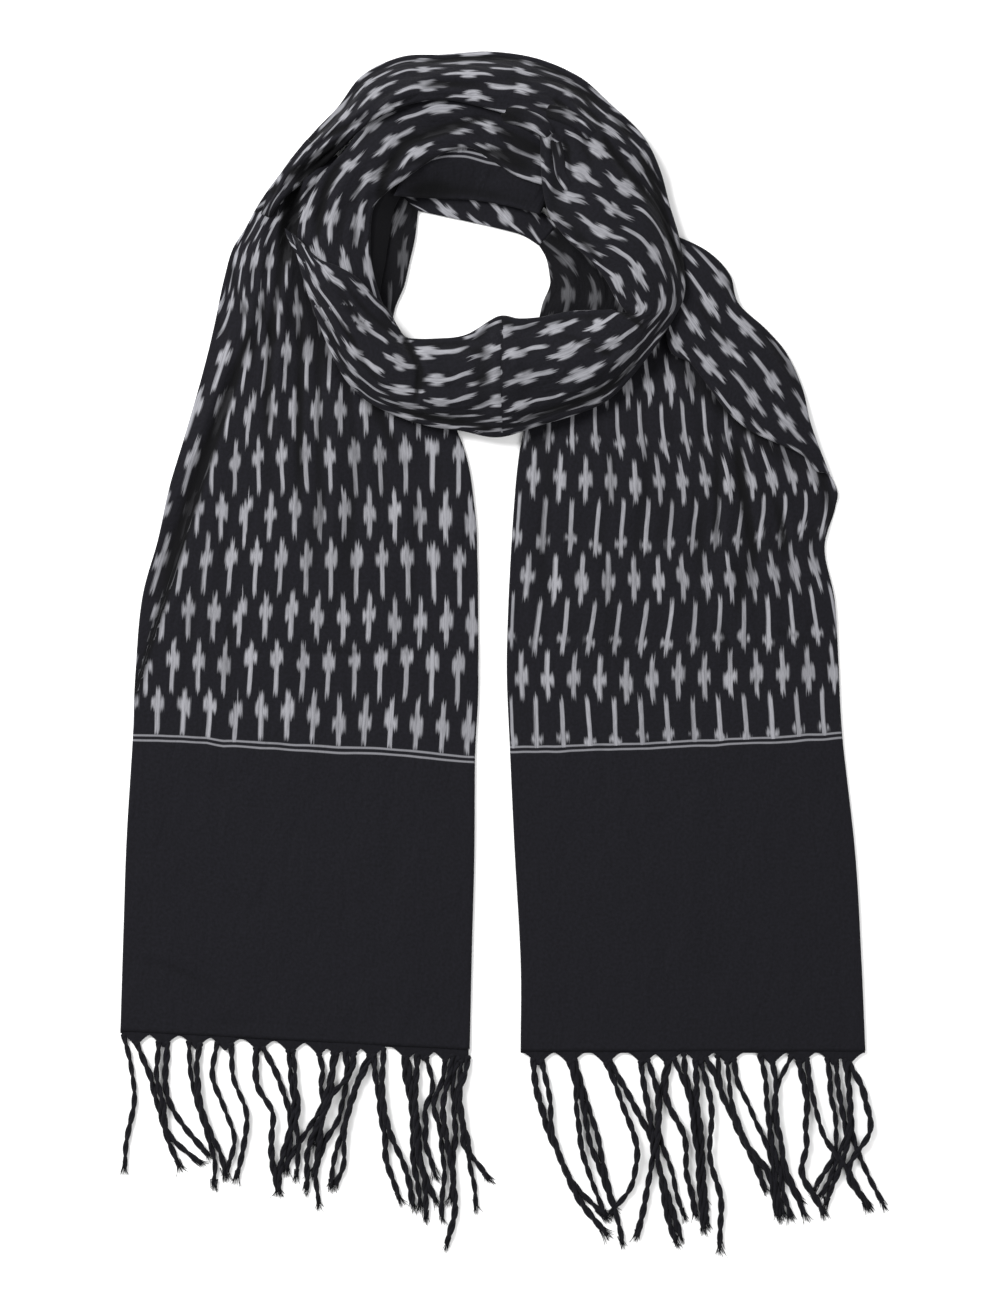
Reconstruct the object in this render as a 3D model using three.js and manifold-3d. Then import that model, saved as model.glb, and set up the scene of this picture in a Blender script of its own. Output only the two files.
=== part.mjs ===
// A cotton scarf wound once round an open neck and laid flat, with two long fringed tails.
// Millimetres, +Z up, +Y from the fringes towards the neck; the scarf lies on Z = 0.
import * as THREE from 'three';
import { mergeVertices } from 'three/addons/utils/BufferGeometryUtils.js';
import Module from 'manifold-3d';

const wasm = await Module();
wasm.setup();

// Driving sizes
const tailWall = 1.5; // one layer of a tail, as it lies
const loopWall = 2.0; // one stretch of the loop, soft and a little puffed
const seam = 0.3; // clearance between neighbouring pieces
const tailCell = { across: 13, under: 3, along: 19 };
const pressedHigh = 2 * tailWall + seam; // a tail folded in half
const crownPower = 3; // how flat the middle of a stretch is, seen in section
const foldEnds = 0.4; // share of a fold's height that is left at its two ends
const fringe = {
  strand: 1.3, // half the thickness of a strand
  lift: 1.8, // from the floor to a strand's middle
  strip: 2.6, // depth of the strip along the hem
  thick: 2.6,
  tooth: 7, // how far the hem is drawn down at a point
  toothWidth: 15,
  steps: 8, // lengths in a strand
};
const clothColour = 0x1f1e23;

// Reads a table: a line of column names, then a row of numbers for each section, fold or strand
function table(columns, rows) {
  const names = columns.split(' ');
  return rows.map((row) => Object.fromEntries(names.map((name, i) => [name, row[i]])));
}

// Each section runs across the cloth from edge a to edge b. za, zm and zb are the heights of
// its upper face at edge a, in the middle and at edge b.
const sectionColumns = 'ax ay bx by za zm zb';

// The tails, from the hem upwards: a is the open edge, b the pressed fold
const leftTail = table(sectionColumns, [
  [-247, -247, -20, -259, 3.3, 3.3, 3.3],
  [-245, -182, -18.5, -191, 3.3, 3.3, 3.3],
  [-243, -123, -17, -133, 3.3, 3.3, 3.3],
  [-239, -58, -16.5, -69, 3.3, 3.3, 3.3],
  [-237.5, -19, -14.5, -27.5, 3.3, 3.6, 3.3],
  [-233, 33, -14.5, 22, 3.3, 4, 3.3],
  [-222.5, 72, -15, 59, 3.3, 4.5, 3.3],
  [-215, 106, -16.5, 90, 3.3, 5, 3.3],
  [-205, 139.5, -24.5, 133.5, 3.3, 6, 3.3],
  [-192, 185.5, -48, 177, 3.3, 7, 3.3],
  [-185, 215.5, -80, 207, 3.3, 8, 3.3],
]);
const rightTail = table(sectionColumns, [
  [237, -260, 13, -260, 3.3, 3.3, 3.3],
  [234.5, -202.5, 13, -202.5, 3.3, 3.3, 3.3],
  [230.5, -133, 9, -128.5, 3.3, 3.3, 3.3],
  [222, -55, 6, -63.5, 3.3, 3.3, 3.3],
  [219.5, -6, 4, -14, 3.3, 3.6, 3.3],
  [217, 33, 5, 29, 3.3, 4, 3.3],
  [210.5, 66.5, 7, 68.5, 3.3, 4.5, 3.3],
  [216, 91.5, 9, 98, 3.3, 5, 3.3],
  [215, 111, 11.5, 124, 3.3, 5, 3.3],
  [200, 137, 16, 146.5, 3.3, 5, 3.3],
  [186, 163, 24, 169.5, 3.3, 5, 3.3],
  [165, 187.5, 33.5, 194, 3.3, 4, 3.3],
  [141, 205, 46.5, 211.5, 3.3, 3.3, 3.3],
]);

// The outer turn: up the left side, over the back of the neck, down the right side and
// across the front. a is the outer edge, b the edge towards the neck.
const leftShoulder = table(sectionColumns, [
  [-185, 215.5, -80, 207, 3.3, 8, 3.3],
  [-180, 239.5, -103, 236, 3, 9, 3.3],
  [-174.5, 259.5, -121, 257, 3, 10, 4],
  [-165.5, 274.5, -131, 274.5, 3, 9, 5],
  [-157, 290, -135, 291, 3, 9, 6],
  [-147, 304.5, -135, 304, 3, 8, 8],
  [-138, 317.5, -129.5, 314, 3, 9, 12],
]);
const topWrap = table(sectionColumns, [
  [-138, 317.5, -129.5, 314, 3, 9, 12],
  [-120, 337.5, -107.5, 326.5, 3, 14, 19],
  [-105, 352.5, -90.5, 338.5, 3, 19, 23],
  [-89.5, 374, -74, 346.5, 3, 22, 26],
  [-64, 385, -54, 353, 3, 24, 27],
  [-38, 386.5, -33.5, 354.5, 3, 24, 26],
  [-7, 388.5, -12, 350, 3, 24, 25],
  [24, 384, 7.5, 344, 3, 24, 25],
  [51.5, 372, 24, 333, 3, 25, 25],
]);
const rightWrap = table(sectionColumns, [
  [51.5, 372, 24, 333, 3, 25, 25],
  [71, 354.5, 25.5, 315.5, 3, 27, 21],
  [92, 334, 27.5, 296, 3, 28, 17],
  [103.5, 311, 32, 280, 3, 29, 16],
  [110, 287.5, 44, 264, 4, 29, 18],
  [116, 267, 57, 252.5, 7, 30, 20],
  [119, 247.5, 67, 240, 9, 30, 21],
  [119, 230.5, 74.5, 226.5, 11, 29, 20],
  [114, 218, 81, 217.5, 13, 28, 20],
]);
const frontRight = table(sectionColumns, [
  [114, 218, 81, 217.5, 13, 28, 20],
  [103, 200.5, 72.5, 220, 12, 28, 17],
  [89.5, 182.5, 61, 220, 10, 28, 14],
  [71, 163, 44.5, 219.5, 9, 27, 12],
  [50, 153, 27, 216, 8, 26, 11],
  [25, 145.5, 12, 215, 8, 25, 10],
  [-1, 138, -1.5, 216.5, 7, 26, 9],
]);
const frontLeft = table(sectionColumns, [
  [-1, 138, -1.5, 216.5, 7, 26, 9],
  [-25, 142, -22.5, 204.5, 8, 25, 10],
  [-48, 145.5, -43, 202, 8, 25, 10],
  [-68, 152, -60, 202.5, 8, 25, 10],
  [-86, 161, -66, 209, 8, 25, 11],
  [-100, 174.5, -72, 219.5, 8, 25, 13],
  [-109.5, 192, -82, 229.5, 9, 26, 19],
  [-118.5, 213.5, -92, 240, 10, 27, 24],
  [-126, 234.5, -104.5, 247.5, 12, 27, 25],
  [-131, 252.5, -117.5, 253, 14, 25, 24],
  [-135, 269.5, -130.5, 266, 17, 21, 22],
]);

// The inner turn: up the left side under the outer turn, along the back of the neck, and
// out on the right as the band over the shoulder
const innerWrap = table(sectionColumns, [
  [-126, 234.5, -75, 220, 9, 16, 8],
  [-131, 257, -83, 248.5, 12, 20, 10],
  [-133, 276, -84, 268, 13, 21, 11],
  [-132.5, 294, -81.5, 286.5, 13, 22, 12],
  [-126, 313, -73, 296.5, 14, 22, 12],
  [-110, 331, -59, 306, 16, 22, 12],
  [-88.5, 339.5, -46, 315, 18, 22, 12],
  [-66, 352.5, -33, 319.5, 20, 21, 11],
  [-38, 359, -18.5, 320, 20, 21, 11],
  [-12, 356, -5, 316, 20, 21, 11],
  [12, 350, 11.5, 308.5, 20, 21, 12],
  [32, 341.5, 27, 303, 20, 21, 13],
]);
const neckBand = table(sectionColumns, [
  [-56, 319, -69, 294, 9, 8, 6],
  [-33, 326.5, -38, 293, 9, 9, 5.5],
  [-9, 324, -17, 292, 9, 9, 5.5],
  [14, 317, 6, 288, 9, 9, 5.5],
  [37.5, 307, 25.5, 282.5, 9, 8, 6],
]);
const shoulderBand = table(sectionColumns, [
  [112, 270, 110, 226, 6, 10, 10],
  [134, 259.5, 107, 207, 3, 12, 9],
  [149, 244, 111, 192.5, 3, 12, 8],
  [154.5, 225, 123, 186, 3, 12, 7],
  [172.5, 208.5, 135, 170.5, 3, 12, 7],
  [186, 192.5, 145.5, 156.5, 3, 12, 7],
  [196, 170.5, 160, 143.5, 4, 11, 7],
  [201, 148.5, 180, 134, 5, 10, 7],
  [207, 131.5, 196, 126.5, 6, 8, 7],
  [218, 106, 210, 108, 6, 6.5, 6.5],
]);

// The lowest layers round the neck opening: a is tucked under the loop, b shows at the opening
const neckEdge = table(sectionColumns, [
  [-73, 303, -53.5, 285.5, 3, 3, 2],
  [-38, 299, -39.5, 282.5, 3, 3, 2],
  [-15, 298, -18.5, 278, 3, 3, 2],
  [6, 294.5, 1, 273.5, 3, 3, 2],
  [22, 288, 14.5, 269.5, 3, 3, 2],
  [37.5, 276, 25, 263, 3, 3, 2],
]);
const innerRight = table(sectionColumns, [
  [37.5, 276, 25, 263, 3, 3, 2],
  [59.5, 260.5, 29.5, 255, 4, 4, 2],
  [74, 248.5, 31.5, 245.5, 5, 5, 2],
  [83, 234.5, 32, 237, 5, 5, 2],
  [87, 218, 27.5, 226, 6, 6, 3],
  [80, 198.5, 24.5, 213.5, 6, 6, 5],
]);
const innerLeft = table(sectionColumns, [
  [-73, 303, -53.5, 285.5, 3, 3, 2],
  [-88.5, 272, -55.5, 268, 3, 4, 2],
  [-88, 252.5, -59, 252.5, 3, 4, 2],
  [-86, 238, -62.5, 237, 3, 4, 2],
  [-80, 224, -68, 224, 3, 3, 2],
  [-76, 215, -70, 215, 3, 3, 3],
]);

// The layers that the loop hides share one rounded body, in four lengths round the neck
const hiddenLeft = table(sectionColumns, [
  [-113, 228, -79.5, 226.5, 6, 14, 6],
  [-121, 251, -75.5, 248.5, 6, 17, 6],
  [-124, 270.5, -72, 269.5, 6, 18, 6],
  [-123, 290, -69, 287, 6, 18, 6],
  [-114, 309, -61.5, 300.5, 6, 18, 6],
]);
const hiddenTop = table(sectionColumns, [
  [-114, 309, -61.5, 300.5, 6, 18, 6],
  [-98, 329, -48.5, 307, 6, 18, 6],
  [-73, 346.5, -34, 308.5, 6, 18, 6],
  [-48, 367.5, -21, 308.5, 6, 18, 6],
  [-18.5, 373.5, -7.5, 306, 6, 18, 6],
  [11, 371.5, 5.5, 300.5, 6, 18, 6],
  [40, 360.5, 20.5, 293, 6, 18, 6],
  [62, 342, 33.5, 283.5, 6, 20, 6],
]);
const hiddenRight = table(sectionColumns, [
  [62, 342, 33.5, 283.5, 6, 20, 6],
  [81.5, 322.5, 49, 272, 6, 24, 6],
  [94.5, 299.5, 63.5, 260.5, 6, 25, 8],
  [102.5, 276, 74, 251, 8, 25, 10],
  [105.5, 254, 83, 239.5, 8, 24, 12],
  [106.5, 233, 88, 226.5, 8, 22, 12],
]);
const hiddenFront = table(sectionColumns, [
  [101, 211, 87, 212, 9, 20, 9],
  [85.5, 194, 66, 207, 9, 22, 9],
  [62, 173, 44, 205.5, 9, 22, 9],
  [30, 160, 20.5, 202, 9, 21, 9],
  [-1, 153.5, -1, 199, 9, 21, 9],
  [-31.5, 156, -28, 190, 9, 20, 9],
  [-60, 163, -52.5, 190, 9, 20, 9],
  [-83.5, 176, -65.5, 195.5, 9, 20, 9],
  [-96.5, 194, -78.5, 209.5, 9, 19, 9],
  [-103, 211, -86, 220, 9, 17, 9],
]);

// The largest folds: a soft ridge (or, with a negative height, a trough) between two points
const folds = table('x1 y1 x2 y2 halfWidth high', [
  [-153.5, 283, -184, 163, 9, 3],
  [-139, 267, -153.5, 150, 8, 2.5],
  [-109.5, 163, -114.5, 33, 10, 1.5],
  [134.5, 137, 154, 7, 9, 2.5],
  [170, 124, 180, 20, 8, 2],
  [-106, 339.5, -44.5, 372, 7, 2.5],
  [-44.5, 372, 14, 376, 7, 2],
  [-114.5, 267, -100, 309, 6, 2],
  [-100, 309, -51, 341.5, 6, 2],
  [66, 358, 108, 293, 6, 2.5],
  [76.5, 319, 110, 263.5, 5, -2.5],
  [17, 345, 36, 328, 4, 2],
  [30, 347, 50, 328, 4, 2],
  [46, 348, 64, 332, 4, 2],
  [92, 198.5, 40, 163, 6, 2],
  [-1, 214, -1, 141, 4, 1.5],
  [-64, 198.5, -48, 163, 5, -1.5],
  [-122.5, 234, -96.5, 182, 5, 1.5],
  [131, 244, 180, 176, 7, 2],
]);

// The fringe: the places where the hem is drawn down to a point, and the strands. A strand
// leaves the hem at rootX, passes x1, x2 and x3 at each quarter of its drop, and ends at its tip.
const strandColumns = 'rootX x1 x2 x3 tipX tipY';
const leftPoints = [-237, -219, -198, -179, -157, -136.5, -118, -107, -97, -84, -61, -50, -36, -25];
const leftStrands = table(strandColumns, [
  [-245, -239, -238, -243, -244, -336.5], [-236.5, -228.5, -222, -217.5, -208.5, -335.5],
  [-222, -223.5, -219, -215.5, -194, -334], [-216.5, -218, -215.5, -206, -189.5, -328.5],
  [-202.5, -202, -194.5, -187, -186.5, -348], [-195, -197, -193, -184.5, -179, -340.5],
  [-184, -186.5, -179.5, -174, -178.5, -339.5], [-175, -173.5, -165, -167, -171.5, -342.5],
  [-159, -158, -147.5, -148, -144.5, -351], [-154.5, -143, -137, -141, -144.5, -350.5],
  [-138, -136, -134, -135.5, -139, -337], [-135, -133, -131.5, -131.5, -132.5, -341.5],
  [-118, -115, -119, -130, -140, -336], [-108.5, -111.5, -117.5, -126.5, -126, -350],
  [-106.5, -110, -116, -119.5, -118, -359.5], [-101, -99.5, -104.5, -115, -122, -341],
  [-95, -98.5, -111, -117, -119.5, -321.5], [-84, -93.5, -100.5, -101.5, -107.5, -347.5],
  [-85, -94, -101.5, -107, -110, -348], [-82.5, -80, -76.5, -72.5, -65.5, -356.5],
  [-76, -77.5, -72, -63.5, -57, -361], [-62.5, -59.5, -57.5, -55.5, -52, -361],
  [-61, -56.5, -53.5, -51, -42, -358.5], [-54, -55.5, -54.5, -51, -48.5, -368],
  [-48.5, -43.5, -48.5, -47.5, -42.5, -341], [-36, -42, -38.5, -37, -38.5, -368],
  [-31, -36.5, -34, -30, -35, -385.5], [-27.5, -31, -29.5, -30.5, -32, -356.5],
  [-25.5, -27, -23.5, -20, -16, -361], [-21, -25.5, -24.5, -22, -7.5, -344],
]);
const rightPoints = [24.5, 45, 68.5, 92.5, 108.5, 129, 148, 176, 195, 216, 226];
const rightStrands = table(strandColumns, [
  [21, 25.5, 36, 47.5, 69.5, -380], [26.5, 32.5, 34.5, 43.5, 67.5, -367],
  [44.5, 49, 52, 59, 68.5, -368], [48, 56.5, 63.5, 72.5, 79.5, -384.5],
  [46, 52.5, 57.5, 65, 73.5, -362.5], [68.5, 78.5, 87.5, 87, 71, -366],
  [70.5, 87.5, 100.5, 105.5, 113.5, -384.5], [91, 95.5, 99.5, 95, 88.5, -381],
  [95.5, 102.5, 101, 108, 117, -381], [108, 104, 103.5, 112.5, 119, -367],
  [109.5, 108, 119.5, 122, 126.5, -367], [112.5, 123.5, 126.5, 129.5, 131.5, -375.5],
  [119, 122.5, 127, 130, 133, -358.5], [126.5, 128, 130, 131.5, 134, -372.5],
  [130, 136.5, 135.5, 143.5, 142.5, -388.5], [133, 143.5, 152.5, 164, 172, -350.5],
  [141, 144.5, 157, 175.5, 181, -367.5], [147, 149.5, 157.5, 174, 179.5, -366.5],
  [151.5, 158, 170, 178.5, 184, -366], [168.5, 173.5, 176.5, 182, 189, -368],
  [176.5, 179.5, 180.5, 185, 195.5, -358], [189, 178.5, 181, 184.5, 198, -367],
  [193.5, 200, 199, 196.5, 210.5, -366.5], [199, 203.5, 209, 225.5, 239, -362.5],
  [212, 215.5, 217.5, 216.5, 203, -351], [218, 220.5, 223.5, 218, 209, -354],
  [223.5, 225.5, 226, 221, 211, -360], [225.5, 227.5, 228.5, 237, 249, -360.5],
  [226, 237, 239.5, 225.5, 240, -361],
]);

const lerp = THREE.MathUtils.lerp;
const clamp = THREE.MathUtils.clamp;

function foldHeight(x, y) {
  let height = 0;
  for (const fold of folds) {
    const runX = fold.x2 - fold.x1;
    const runY = fold.y2 - fold.y1;
    const along = ((x - fold.x1) * runX + (y - fold.y1) * runY) / (runX * runX + runY * runY);
    const nearest = clamp(along, 0, 1);
    const away = Math.hypot(x - fold.x1 - nearest * runX, y - fold.y1 - nearest * runY) / fold.halfWidth;
    const fade = foldEnds + (1 - foldEnds) * Math.sin(Math.PI * nearest);
    if (away < 1) height += fold.high * fade * (1 - away * away) ** 2;
  }
  return height;
}

// A smooth surface through the sections, as a grid of points: grid[along][across]
function surfaceThrough(sections, along, across) {
  const edgeA = new THREE.CatmullRomCurve3(sections.map((s) => new THREE.Vector3(s.ax, s.ay, s.za)));
  const edgeB = new THREE.CatmullRomCurve3(sections.map((s) => new THREE.Vector3(s.bx, s.by, s.zb)));
  const middle = new THREE.SplineCurve(sections.map((s, i) => new THREE.Vector2(i, s.zm)));
  const grid = [];
  for (let j = 0; j <= along; j++) {
    const a = edgeA.getPoint(j / along);
    const b = edgeB.getPoint(j / along);
    const crown = middle.getPoint(j / along).y - (a.z + b.z) / 2;
    const row = [];
    for (let i = 0; i <= across; i++) {
      const u = i / across;
      const point = a.clone().lerp(b, u);
      point.z += crown * (1 - Math.abs(2 * u - 1) ** crownPower) + foldHeight(point.x, point.y);
      row.push(point);
    }
    grid.push(row);
  }
  return grid;
}

// A closed wall between two grids of the same size, with its faces turned outwards
function closedWall(outer, inner) {
  const rows = outer.length;
  const columns = outer[0].length;
  const positions = [...outer.flat(), ...inner.flat()].flatMap((point) => [point.x, point.y, point.z]);
  const outside = (j, i) => j * columns + i;
  const inside = (j, i) => (rows + j) * columns + i;
  const faces = [];
  const quad = (a, b, c, d) => faces.push(a, b, c, a, c, d);
  for (let j = 0; j < rows - 1; j++) {
    for (let i = 0; i < columns - 1; i++) {
      quad(outside(j, i), outside(j, i + 1), outside(j + 1, i + 1), outside(j + 1, i));
      quad(inside(j, i), inside(j + 1, i), inside(j + 1, i + 1), inside(j, i + 1));
    }
    const last = columns - 1;
    quad(outside(j, 0), outside(j + 1, 0), inside(j + 1, 0), inside(j, 0));
    quad(outside(j + 1, last), outside(j, last), inside(j, last), inside(j + 1, last));
  }
  for (let i = 0; i < columns - 1; i++) {
    quad(outside(0, i + 1), outside(0, i), inside(0, i), inside(0, i + 1));
    quad(outside(rows - 1, i), outside(rows - 1, i + 1), inside(rows - 1, i + 1), inside(rows - 1, i));
  }
  const geometry = new THREE.BufferGeometry();
  geometry.setAttribute('position', new THREE.Float32BufferAttribute(positions, 3));
  geometry.setIndex(signedVolume(positions, faces) > 0 ? faces : faces.reverse());
  geometry.computeVertexNormals();
  return geometry;
}

function signedVolume(positions, faces) {
  const corner = (index) => new THREE.Vector3().fromArray(positions, 3 * index);
  let volume = 0;
  for (let f = 0; f < faces.length; f += 3) {
    volume += corner(faces[f]).dot(corner(faces[f + 1]).cross(corner(faces[f + 2]))) / 6;
  }
  return volume;
}

// What lies on the floor so far, as heights on a square raster
const raster = { step: 2, halfX: 270, halfY: 400, reach: 1 };
raster.columns = (2 * raster.halfX) / raster.step + 1;
raster.rows = (2 * raster.halfY) / raster.step + 1;

const flatDistance = (p, q) => Math.hypot(p.x - q.x, p.y - q.y);

// Calls visit(cell, weights) for each raster point inside a triangle seen from above, or
// past one of its sides by no more than the overhang
function overRaster(a, b, c, visit, overhang = 1e-4) {
  const area = (b.x - a.x) * (c.y - a.y) - (c.x - a.x) * (b.y - a.y);
  if (Math.abs(area) < 1e-9) return;
  const column = (x) => (x + raster.halfX) / raster.step;
  const row = (y) => (y + raster.halfY) / raster.step;
  const slack = [flatDistance(b, c), flatDistance(c, a), flatDistance(a, b)].map((side) => (
    (overhang * side) / Math.abs(area)));
  const margin = Math.ceil(overhang / raster.step);
  const firstColumn = Math.ceil(column(Math.min(a.x, b.x, c.x))) - margin;
  const lastColumn = Math.floor(column(Math.max(a.x, b.x, c.x))) + margin;
  const firstRow = Math.ceil(row(Math.min(a.y, b.y, c.y))) - margin;
  const lastRow = Math.floor(row(Math.max(a.y, b.y, c.y))) + margin;
  for (let r = firstRow; r <= lastRow; r++) {
    for (let k = firstColumn; k <= lastColumn; k++) {
      const x = k * raster.step - raster.halfX;
      const y = r * raster.step - raster.halfY;
      const wb = ((x - a.x) * (c.y - a.y) - (c.x - a.x) * (y - a.y)) / area;
      const wc = ((b.x - a.x) * (y - a.y) - (x - a.x) * (b.y - a.y)) / area;
      const wa = 1 - wb - wc;
      if (wa >= -slack[0] && wb >= -slack[1] && wc >= -slack[2]) {
        const held = [wa, wb, wc].map((w) => Math.max(w, 0));
        const sum = held[0] + held[1] + held[2];
        visit(r * raster.columns + k, held.map((w) => w / sum));
      }
    }
  }
}

function trianglesOf(grid) {
  const triangles = [];
  for (let j = 0; j < grid.length - 1; j++) {
    for (let i = 0; i < grid[0].length - 1; i++) {
      triangles.push([grid[j][i], grid[j][i + 1], grid[j + 1][i + 1]]);
      triangles.push([grid[j][i], grid[j + 1][i + 1], grid[j + 1][i]]);
    }
  }
  return triangles;
}

// The heights under a new piece: the highest upper face within reach of each raster point
function pileOf(pieces) {
  const pile = new Float32Array(raster.columns * raster.rows).fill(-seam);
  for (const piece of pieces) {
    for (const [a, b, c] of trianglesOf(piece.top)) {
      overRaster(a, b, c, (cell, [wa, wb, wc]) => {
        pile[cell] = Math.max(pile[cell], wa * a.z + wb * b.z + wc * c.z);
      });
    }
  }
  const widened = pile.slice();
  const reach = raster.reach;
  for (let r = reach; r < raster.rows - reach; r++) {
    for (let k = reach; k < raster.columns - reach; k++) {
      for (let dr = -reach; dr <= reach; dr++) {
        for (let dk = -reach; dk <= reach; dk++) {
          const cell = r * raster.columns + k;
          widened[cell] = Math.max(widened[cell], pile[cell + dr * raster.columns + dk]);
        }
      }
    }
  }
  return widened;
}

// Lifts an underside until it clears the pile everywhere, most where it is pressed most
function settle(under, pile) {
  const easing = 14; // gentle passes, before one that clears what is left
  const overhang = 1.6 * raster.step;
  under.flat().forEach((point) => {
    const column = Math.round((point.x + raster.halfX) / raster.step);
    const row = Math.round((point.y + raster.halfY) / raster.step);
    point.z = Math.max(point.z, pile[row * raster.columns + column] + seam);
  });
  for (let pass = 0; pass <= easing; pass++) {
    for (const triangle of trianglesOf(under)) {
      const [a, b, c] = triangle;
      overRaster(a, b, c, (cell, weights) => {
        const height = weights[0] * a.z + weights[1] * b.z + weights[2] * c.z;
        const short = pile[cell] + seam - height;
        if (short <= 0) return;
        const pull = weights.reduce((sum, w) => sum + w ** 3, 0);
        triangle.forEach((corner, i) => {
          corner.z += pass < easing ? (short * weights[i] ** 2) / pull : short;
        });
      }, overhang);
    }
  }
}

const laid = [];
const scarf = new THREE.Group();

function addPiece(name, geometry, top) {
  const material = new THREE.MeshStandardMaterial({ color: clothColour, roughness: 0.95, metalness: 0 });
  const mesh = new THREE.Mesh(geometry, material);
  mesh.name = name;
  scarf.add(mesh);
  if (top) laid.push({ name, top });
}

const raised = (grid, height) => grid.map((row) => row.map((p) => new THREE.Vector3(p.x, p.y, p.z + height)));

// Draws the first section in by the seam's width, where one stretch runs on from another
function trimStart(grid) {
  grid[0].forEach((point, i) => {
    const next = grid[1][i];
    point.lerp(next, seam / Math.hypot(next.x - point.x, next.y - point.y));
  });
}

// A stretch of cloth laid on all that lies there already, except the one it runs on from
function layStretch(name, sections, { along, across, runsOnFrom = [] }) {
  const under = raised(surfaceThrough(sections, along, across), -loopWall);
  if (runsOnFrom.length > 0) trimStart(under);
  under.flat().forEach((point) => { point.z = Math.max(point.z, 0); });
  settle(under, pileOf(laid.filter((piece) => !runsOnFrom.includes(piece.name))));
  const top = raised(under, loopWall);
  addPiece(name, closedWall(top, under), top);
}

// A length of the hidden layers: a rounded body from what it lies on up to its crown
function layHidden(name, sections, { along, across, runsOnFrom = [] }) {
  const top = surfaceThrough(sections, along, across);
  if (runsOnFrom.length > 0) trimStart(top);
  const under = top.map((row) => row.map((point) => new THREE.Vector3(point.x, point.y, 0)));
  settle(under, pileOf(laid.filter((piece) => !runsOnFrom.includes(piece.name))));
  top.forEach((row, j) => row.forEach((point, i) => {
    point.z = Math.max(point.z, under[j][i].z + loopWall);
  }));
  addPiece(name, closedWall(top, under), top);
}

// A tail: one wall that runs in under itself at the pressed fold, so it lies two layers deep
function layTail(name, sections) {
  const top = surfaceThrough(sections, tailCell.along, tailCell.across);
  const foldTurns = [-90, -30, 30, 90].map((turn) => THREE.MathUtils.degToRad(turn));
  const outer = [];
  const inner = [];
  for (const row of top) {
    row.forEach((point) => { point.z = Math.max(point.z, pressedHigh); });
    const open = row[0];
    const fold = row[row.length - 1];
    const width = Math.hypot(open.x - fold.x, open.y - fold.y);
    const at = (distance, z) => {
      const u = distance / width;
      return new THREE.Vector3(lerp(fold.x, open.x, u), lerp(fold.y, open.y, u), z);
    };
    const outerRow = [];
    const innerRow = [];
    const radius = fold.z / 2;
    for (let i = 0; i < tailCell.under; i++) {
      const distance = lerp(width, radius, i / tailCell.under);
      outerRow.push(at(distance, 0));
      innerRow.push(at(distance, tailWall));
    }
    for (const turn of foldTurns) {
      outerRow.push(at(radius - radius * Math.cos(turn), radius + radius * Math.sin(turn)));
      const bend = radius - tailWall;
      innerRow.push(at(radius - bend * Math.cos(turn), radius + bend * Math.sin(turn)));
    }
    for (const point of row.slice(0, -1).reverse()) {
      outerRow.push(point);
      innerRow.push(point.clone().setZ(point.z - tailWall));
    }
    outer.push(outerRow);
    inner.push(innerRow);
  }
  addPiece(name, closedWall(outer, inner), top);
}

function solidOf(geometry) {
  const bare = geometry.clone();
  bare.deleteAttribute('normal');
  bare.deleteAttribute('uv');
  const merged = mergeVertices(bare, 1e-4);
  return new wasm.Manifold(new wasm.Mesh({
    numProp: 3,
    vertProperties: new Float32Array(merged.attributes.position.array),
    triVerts: new Uint32Array(merged.index.array),
  }));
}

function geometryOf(solid) {
  const mesh = solid.getMesh();
  const geometry = new THREE.BufferGeometry();
  geometry.setAttribute('position', new THREE.Float32BufferAttribute(mesh.vertProperties, 3));
  geometry.setIndex([...mesh.triVerts]);
  geometry.computeVertexNormals();
  return geometry;
}

// A flat plate in the fringe's strip, from its outline seen from above
function plate(corners) {
  const outline = new THREE.Shape(corners.map(([x, y]) => new THREE.Vector2(x, y)));
  const geometry = new THREE.ExtrudeGeometry(outline, { depth: fringe.thick, bevelEnabled: false });
  geometry.translate(0, 0, fringe.lift - fringe.thick / 2);
  return solidOf(geometry);
}

function strandAlong(points) {
  const side = fringe.strand;
  const corners = [[-1, -0.6], [1, -0.6], [0, 1.1]]; // three sides, as shares of the half thickness
  const section = new THREE.Shape(corners.map(([x, y]) => new THREE.Vector2(x * side, y * side)));
  const path = new THREE.CatmullRomCurve3(points);
  return solidOf(new THREE.ExtrudeGeometry(section, { steps: fringe.steps, extrudePath: path }));
}

// A fringe: a strip along the hem with a toothed edge, and the strands rooted in the strip
function layFringe(name, hem, points, strands) {
  const start = Math.min(hem.ax, hem.bx);
  const end = Math.max(hem.ax, hem.bx);
  const hemY = (x) => lerp(hem.ay, hem.by, (x - hem.ax) / (hem.bx - hem.ax)) - seam;
  const rootY = (x) => hemY(x) - fringe.strip / 2;
  let body = plate([
    [start, hemY(start)], [start, hemY(start) - fringe.strip],
    [end, hemY(end) - fringe.strip], [end, hemY(end)],
  ]);
  for (const point of points) {
    const left = Math.max(point - fringe.toothWidth / 2, start);
    const right = Math.min(point + fringe.toothWidth / 2, end);
    body = body.add(plate([
      [left, rootY(left)], [point, rootY(point) - fringe.tooth], [right, rootY(right)],
    ]));
  }
  for (const strand of strands) {
    const across = [strand.rootX, strand.x1, strand.x2, strand.x3, strand.tipX];
    const top = rootY(strand.rootX);
    body = body.add(strandAlong(across.map((x, quarter) => (
      new THREE.Vector3(x, lerp(top, strand.tipY, quarter / (across.length - 1)), fringe.lift)))));
  }
  addPiece(name, geometryOf(body));
}

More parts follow.
